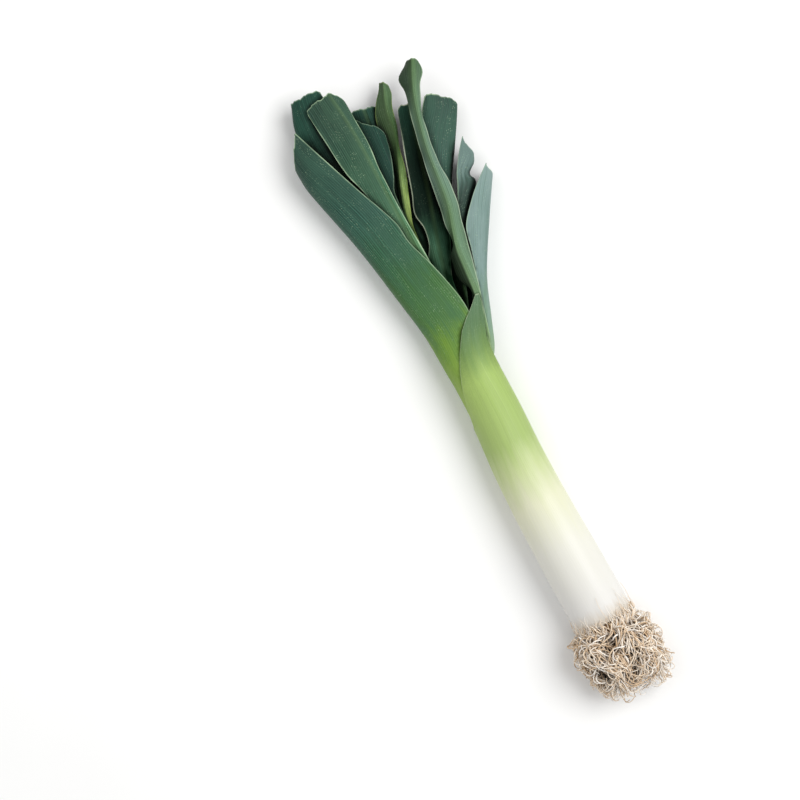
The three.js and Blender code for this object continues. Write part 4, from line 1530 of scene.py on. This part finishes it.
# %% One root of the rim
RIM_STEPS = 9
RIM_START = -5.5
RIM_ARC = (-0.15, 1.15)
RIM_REACHES = ((2, 5), (5, 11), (11, 20))
RIM_SHARES = [0.76, 0.2, 0.04]
RIM_SWING = 0.16
RIM_LIFT = (0.5, 2.6)
RIM_WIGGLE = 0.05
WIGGLE_TURNS = (4, 9)
ARCH_TURN = 0.8 * math.pi
RIM_CLEARANCE = 0.35
RIM_TUCK = 0.18


def rim_line(rng):
    """One root from the plate's rim up over the sheath."""
    around = rng.uniform(*RIM_ARC) * math.pi
    reach = rng.choice([rng.uniform(*reaches) for reaches in RIM_REACHES], p=RIM_SHARES)
    swing = rng.normal(0, RIM_SWING)
    lift = rng.uniform(*RIM_LIFT)
    share = np.linspace(0, 1, RIM_STEPS)
    x = mix(RIM_START, reach, share)
    wiggle = np.sin(share * rng.uniform(*WIGGLE_TURNS) + rng.uniform(*ANY_PHASE))
    angle = around + swing * share + RIM_WIGGLE * wiggle
    arch = lift * np.sin(share * ARCH_TURN) ** 2
    away = along(SHAFT_RADIUS, np.maximum(x, 0)) + RIM_CLEARANCE + arch
    away = np.where(x < 0, away + RIM_TUCK * x, away)
    return np.stack([x, axis_y + along(SHAFT_BOW, x) + away * np.cos(angle),
                     axis_height(x) + away * np.sin(angle)], 1)


print("roots of the rim reach up the shaft by", RIM_REACHES[0][0], "to", RIM_REACHES[-1][1], "mm")

# %% [markdown]
# Most of these roots are short. The longer ones are hairs, half as thick as the short ones.

# %% The rim roots
RIM_ROOTS = 210
SHORT_REACH = 5
SHORT_RADIUS = 0.34
HAIR_RADIUS = 0.17
RADIUS_SPREAD = (0.7, 1.2)


def rim_mesh(seed, shift):
    """All roots of the rim as one mesh, the short ones thicker than the long hairs."""
    rng = np.random.default_rng(seed)
    lines = [rim_line(rng) for _ in range(RIM_ROOTS)]
    thick = np.array([SHORT_RADIUS if line[-1, 0] < SHORT_REACH else HAIR_RADIUS for line in lines])
    radii = thick * rng.uniform(*RADIUS_SPREAD, RIM_ROOTS)
    return strand_mesh("rim_roots", lines, radii, rng, shift)


rim_roots = rim_mesh(seed=11, shift=shift)
print("points in them:", len(rim_roots.vertices))

# %% [markdown]
# ## The basal plate
# Under the roots is the basal plate, a short woody disc. It is a turned form, so its profile is a
# list of places and radii and a loop turns it round the axis, a little unevenly. It is mostly
# hidden, but it fills the tuft's heart so that no light shows through.

# %% The plate's mesh
PLATE_PROFILE = [(0.6, 0.2), (0.6, 15.2), (-1.5, 15.6), (-5, 14.8), (-9, 12.0), (-12.5, 8.0),
                 (-14.5, 3.0), (-15, 0.2)]
PLATE_SIDES = 40
PLATE_ROUGHNESS = 0.06


def plate_mesh(seed, shift):
    """The profile turned round the shaft's axis."""
    rng = np.random.default_rng(seed)
    turn = np.linspace(0, 2 * math.pi, PLATE_SIDES, endpoint=False)
    places = []
    for x, radius in PLATE_PROFILE:
        rough = radius * (1 + rng.uniform(-PLATE_ROUGHNESS, PLATE_ROUGHNESS, PLATE_SIDES) * (x < 0))
        places.append(np.stack([np.full(PLATE_SIDES, x), axis_y + rough * np.cos(turn),
                                axis_z + rough * np.sin(turn)], -1))
    corner = np.arange(len(PLATE_PROFILE) * PLATE_SIDES).reshape(-1, PLATE_SIDES)
    after = np.roll(corner, -1, axis=1)
    faces = np.stack([corner[:-1], corner[1:], after[1:], after[:-1]], -1).reshape(-1, 4).tolist()
    faces += [corner[0].tolist(), corner[-1][::-1].tolist()]
    mesh = bpy.data.meshes.new("basal_plate")
    mesh.from_pydata(((np.concatenate(places) + shift) * MM).tolist(), [], faces)
    return mesh


basal_plate = plate_mesh(seed=3, shift=shift)
print("basal plate:", 2 * max(radius for _, radius in PLATE_PROFILE), "mm across")

# %% [markdown]
# ## Soil and grain
# Soil stains the roots and the plate in blotches, and both have a fine grain. Both come from noise
# in the object's own coordinates, so they stay put when the leek is turned. Roots and plate share
# one group and give it their own scales.

# %% The soil group
def make_soil_group():
    tree, given, result = new_group(
        "Soil and grain", {"Blotch scale": 160.0, "Grain scale": 900.0}, {"Blotch": 0.5, "Grain": 0.5})
    where = node(tree, "ShaderNodeTexCoord").outputs["Object"]
    blotch = node(tree, "ShaderNodeTexNoise", Vector=where, Scale=given["Blotch scale"], Detail=3.0)
    grain = node(tree, "ShaderNodeTexNoise", Vector=where, Scale=given["Grain scale"], Detail=2.0)
    feed(tree, result["Blotch"], blotch.outputs["Fac"])
    feed(tree, result["Grain"], grain.outputs["Fac"])
    return tree


soil_group = make_soil_group()

# %% [markdown]
# ## The roots' finish
# Dry roots are cream to tan, and each has a tone of its own, so a number stored for each root
# chooses its colour from a ramp. Deep in the tuft they are painted darker: painted shade, where
# the roots around them keep the light out.

# %% The root finish
ROOT_TONES = [(0.0, (208, 178, 142)), (0.3, (240, 218, 190)), (0.6, (253, 242, 226)),
              (1.0, (255, 250, 243))]
SOIL_TONE = tone(150, 112, 72)
# Painted shade: the tone of roots deep in the tuft, hidden from the light by the others.
DEEP_SHADE_TONE = tone(72, 51, 34)
STAIN_RANGE = (0.5, 0.75)
STAIN_STRENGTH = 0.3
DEEP_SHADE_RANGE = (0.05, 0.34)
DEEP_SHADE_STRENGTH = 0.92
DRY_RANGE = (0.3, 0.8)
DRY_ROUGHNESS = (0.7, 0.9)


def root_finish():
    material, tree, shader = new_material("root_finish")
    soil = placed(tree, soil_group)
    colour = colour_ramp(tree, fact(tree, "root_tone"), ROOT_TONES)
    stained = between(tree, soil["Blotch"], *STAIN_RANGE, 0.0, STAIN_STRENGTH)
    colour = blend_colour(tree, stained, colour, SOIL_TONE)
    # Painted shade: roots deep in the tuft are darkened towards the shade tone.
    deep = between(tree, fact(tree, "root_depth"), *DEEP_SHADE_RANGE, 0.0, DEEP_SHADE_STRENGTH)
    feed(tree, shader["Base Color"], blend_colour(tree, deep, colour, DEEP_SHADE_TONE))
    feed(tree, shader["Roughness"], between(tree, soil["Blotch"], *DRY_RANGE, *DRY_ROUGHNESS))
    bump = node(tree, "ShaderNodeBump", Height=soil["Grain"], Strength=0.6, Distance=0.1 * MM)
    feed(tree, shader["Normal"], bump.outputs["Normal"])
    print("finish:", material.name, "with", len(tree.nodes), "nodes")
    return material


dry_root = root_finish()

# %% [markdown]
# The plate is woody and brown. Its blotches are smaller than the roots' ones, and its grain is
# coarser and deeper.

# %% The plate finish
DARK_BARK = tone(96, 70, 46)
PALE_BARK = tone(160, 128, 88)
BARK_RANGE = (0.35, 0.65)
BARK_GLOSS_RANGE = (0.2, 0.8)
BARK_ROUGHNESS = (0.8, 0.95)


def plate_finish():
    material, tree, shader = new_material("basal_plate_finish")
    soil = placed(tree, soil_group, Blotch_scale=240.0, Grain_scale=600.0)
    blotch = between(tree, soil["Blotch"], *BARK_RANGE)
    feed(tree, shader["Base Color"], blend_colour(tree, blotch, DARK_BARK, PALE_BARK))
    feed(tree, shader["Roughness"], between(tree, soil["Blotch"], *BARK_GLOSS_RANGE, *BARK_ROUGHNESS))
    bump = node(tree, "ShaderNodeBump", Height=soil["Grain"], Strength=0.8, Distance=0.5 * MM)
    feed(tree, shader["Normal"], bump.outputs["Normal"])
    print("finish:", material.name, "with", len(tree.nodes), "nodes")
    return material


woody_plate = plate_finish()

# %% [markdown]
# All four pieces stand for the frame's one solid of the roots.

# %% Place the roots
ROOT_PIECES = ((outer_roots, "outer_roots", dry_root), (inner_roots, "inner_roots", dry_root),
               (rim_roots, "rim_roots", dry_root), (basal_plate, "basal_plate", woody_plate))
for mesh, name, material in ROOT_PIECES:
    place_piece(mesh, name, material, "roots")
print("pieces in all:", len(LEAVES) + len(ROOT_PIECES))

# %% [markdown]
# ## The floor
# The leek lies on a plain pale surface. A little noise in its tone and gloss keeps it from looking
# like an empty background.

# %% The floor
FLOOR_HALF = 3.0
DULL_PAPER = tone(244, 244, 243)
PALE_PAPER = tone(247, 247, 246)
PAPER_RANGE = (0.3, 0.7)
PAPER_ROUGHNESS = (0.86, 0.94)
floor_mesh = bpy.data.meshes.new("floor")
corner_signs = ((-1, -1), (1, -1), (1, 1), (-1, 1))
floor_corners = [(x * FLOOR_HALF, y * FLOOR_HALF, 0) for x, y in corner_signs]
floor_mesh.from_pydata(floor_corners, [], [(0, 1, 2, 3)])
floor = bpy.data.objects.new("floor", floor_mesh)
bpy.context.scene.collection.objects.link(floor)
floor_material, floor_tree, floor_shader = new_material("floor_finish")
paper = node(floor_tree, "ShaderNodeTexNoise", Scale=60.0, Detail=2.0).outputs["Fac"]
grain = between(floor_tree, paper, *PAPER_RANGE)
floor_tone = blend_colour(floor_tree, grain, DULL_PAPER, PALE_PAPER)
feed(floor_tree, floor_shader["Base Color"], floor_tone)
feed(floor_tree, floor_shader["Roughness"], between(floor_tree, paper, *PAPER_RANGE, *PAPER_ROUGHNESS))
floor_mesh.materials.append(floor_material)
print("floor:", 2 * FLOOR_HALF, "m across")

# %% [markdown]
# ## The camera
# The camera looks straight down from far enough that the leek is nearly in true plan. The middle of
# the view is a place beside the leek, and the leek points up and to the left in it. The lens follows
# from the camera's height and the width that the view should have at the leek's axis.

# %% The camera
MM_PER_PIXEL = 0.6
VIEW_PIXELS = 800
VIEW_WIDTH = VIEW_PIXELS * MM_PER_PIXEL * MM
VIEW_MIDDLE = (175.5, 47.0)
LEEK_TURN = (0.884, -0.467, 0)
CAMERA_HEIGHT = 1.6
SENSOR_WIDTH = 36
camera_data = bpy.data.cameras.new("camera")
camera = bpy.data.objects.new("camera", camera_data)
bpy.context.scene.collection.objects.link(camera)
up = Vector(LEEK_TURN).normalized()
right = up.cross(Vector((0, 0, 1)))
turned = Matrix((right, up, Vector((0, 0, 1)))).transposed().to_4x4()
middle_x = (VIEW_MIDDLE[0] + shift[0]) * MM
middle_y = (VIEW_MIDDLE[1] + shift[1]) * MM
camera.matrix_world = Matrix.Translation((middle_x, middle_y, CAMERA_HEIGHT)) @ turned
camera_data.sensor_width = SENSOR_WIDTH
camera_data.lens = SENSOR_WIDTH * (CAMERA_HEIGHT - axis_z * MM) / VIEW_WIDTH
bpy.context.scene.camera = camera
print("lens, mm:", round(camera_data.lens, 1))

# %% [markdown]
# ## The light
# A large soft lamp stands to one side and a weaker one to the other, as in a small studio, and a
# white surrounding fills the shadows. Large lamps give the leaves broad, soft highlights.

# %% The lamps and the surrounding
# Each lamp: metres up and right in the view, height, diameter in metres, and watts.
LAMPS = dict(key_light=(0.4, 0.95, 1.5, 1.5, 28), fill_light=(0.2, -1.1, 1.4, 1.8, 8))
SURROUNDING = 0.46


def soft_light(name, place, size, power):
    """A round lamp that shines at the middle of the frame."""
    data = bpy.data.lights.new(name, "AREA")
    data.shape = "DISK"
    data.size = size
    data.energy = power
    lamp = bpy.data.objects.new(name, data)
    lamp.location = place
    lamp.rotation_euler = (-Vector(place)).to_track_quat("-Z", "Y").to_euler()
    bpy.context.scene.collection.objects.link(lamp)
    print(name, "of", power, "W,", size, "m across")


for name, (upwards, sideways, height, size, power) in LAMPS.items():
    soft_light(name, up * upwards + right * sideways + Vector((0, 0, height)), size, power)
world = bpy.data.worlds.new("studio")
world.use_nodes = True
surrounding = world.node_tree.nodes["Background"].inputs
surrounding["Color"].default_value = WHITE
surrounding["Strength"].default_value = SURROUNDING
bpy.context.scene.world = world
bpy.context.scene.view_settings.view_transform = "Standard"
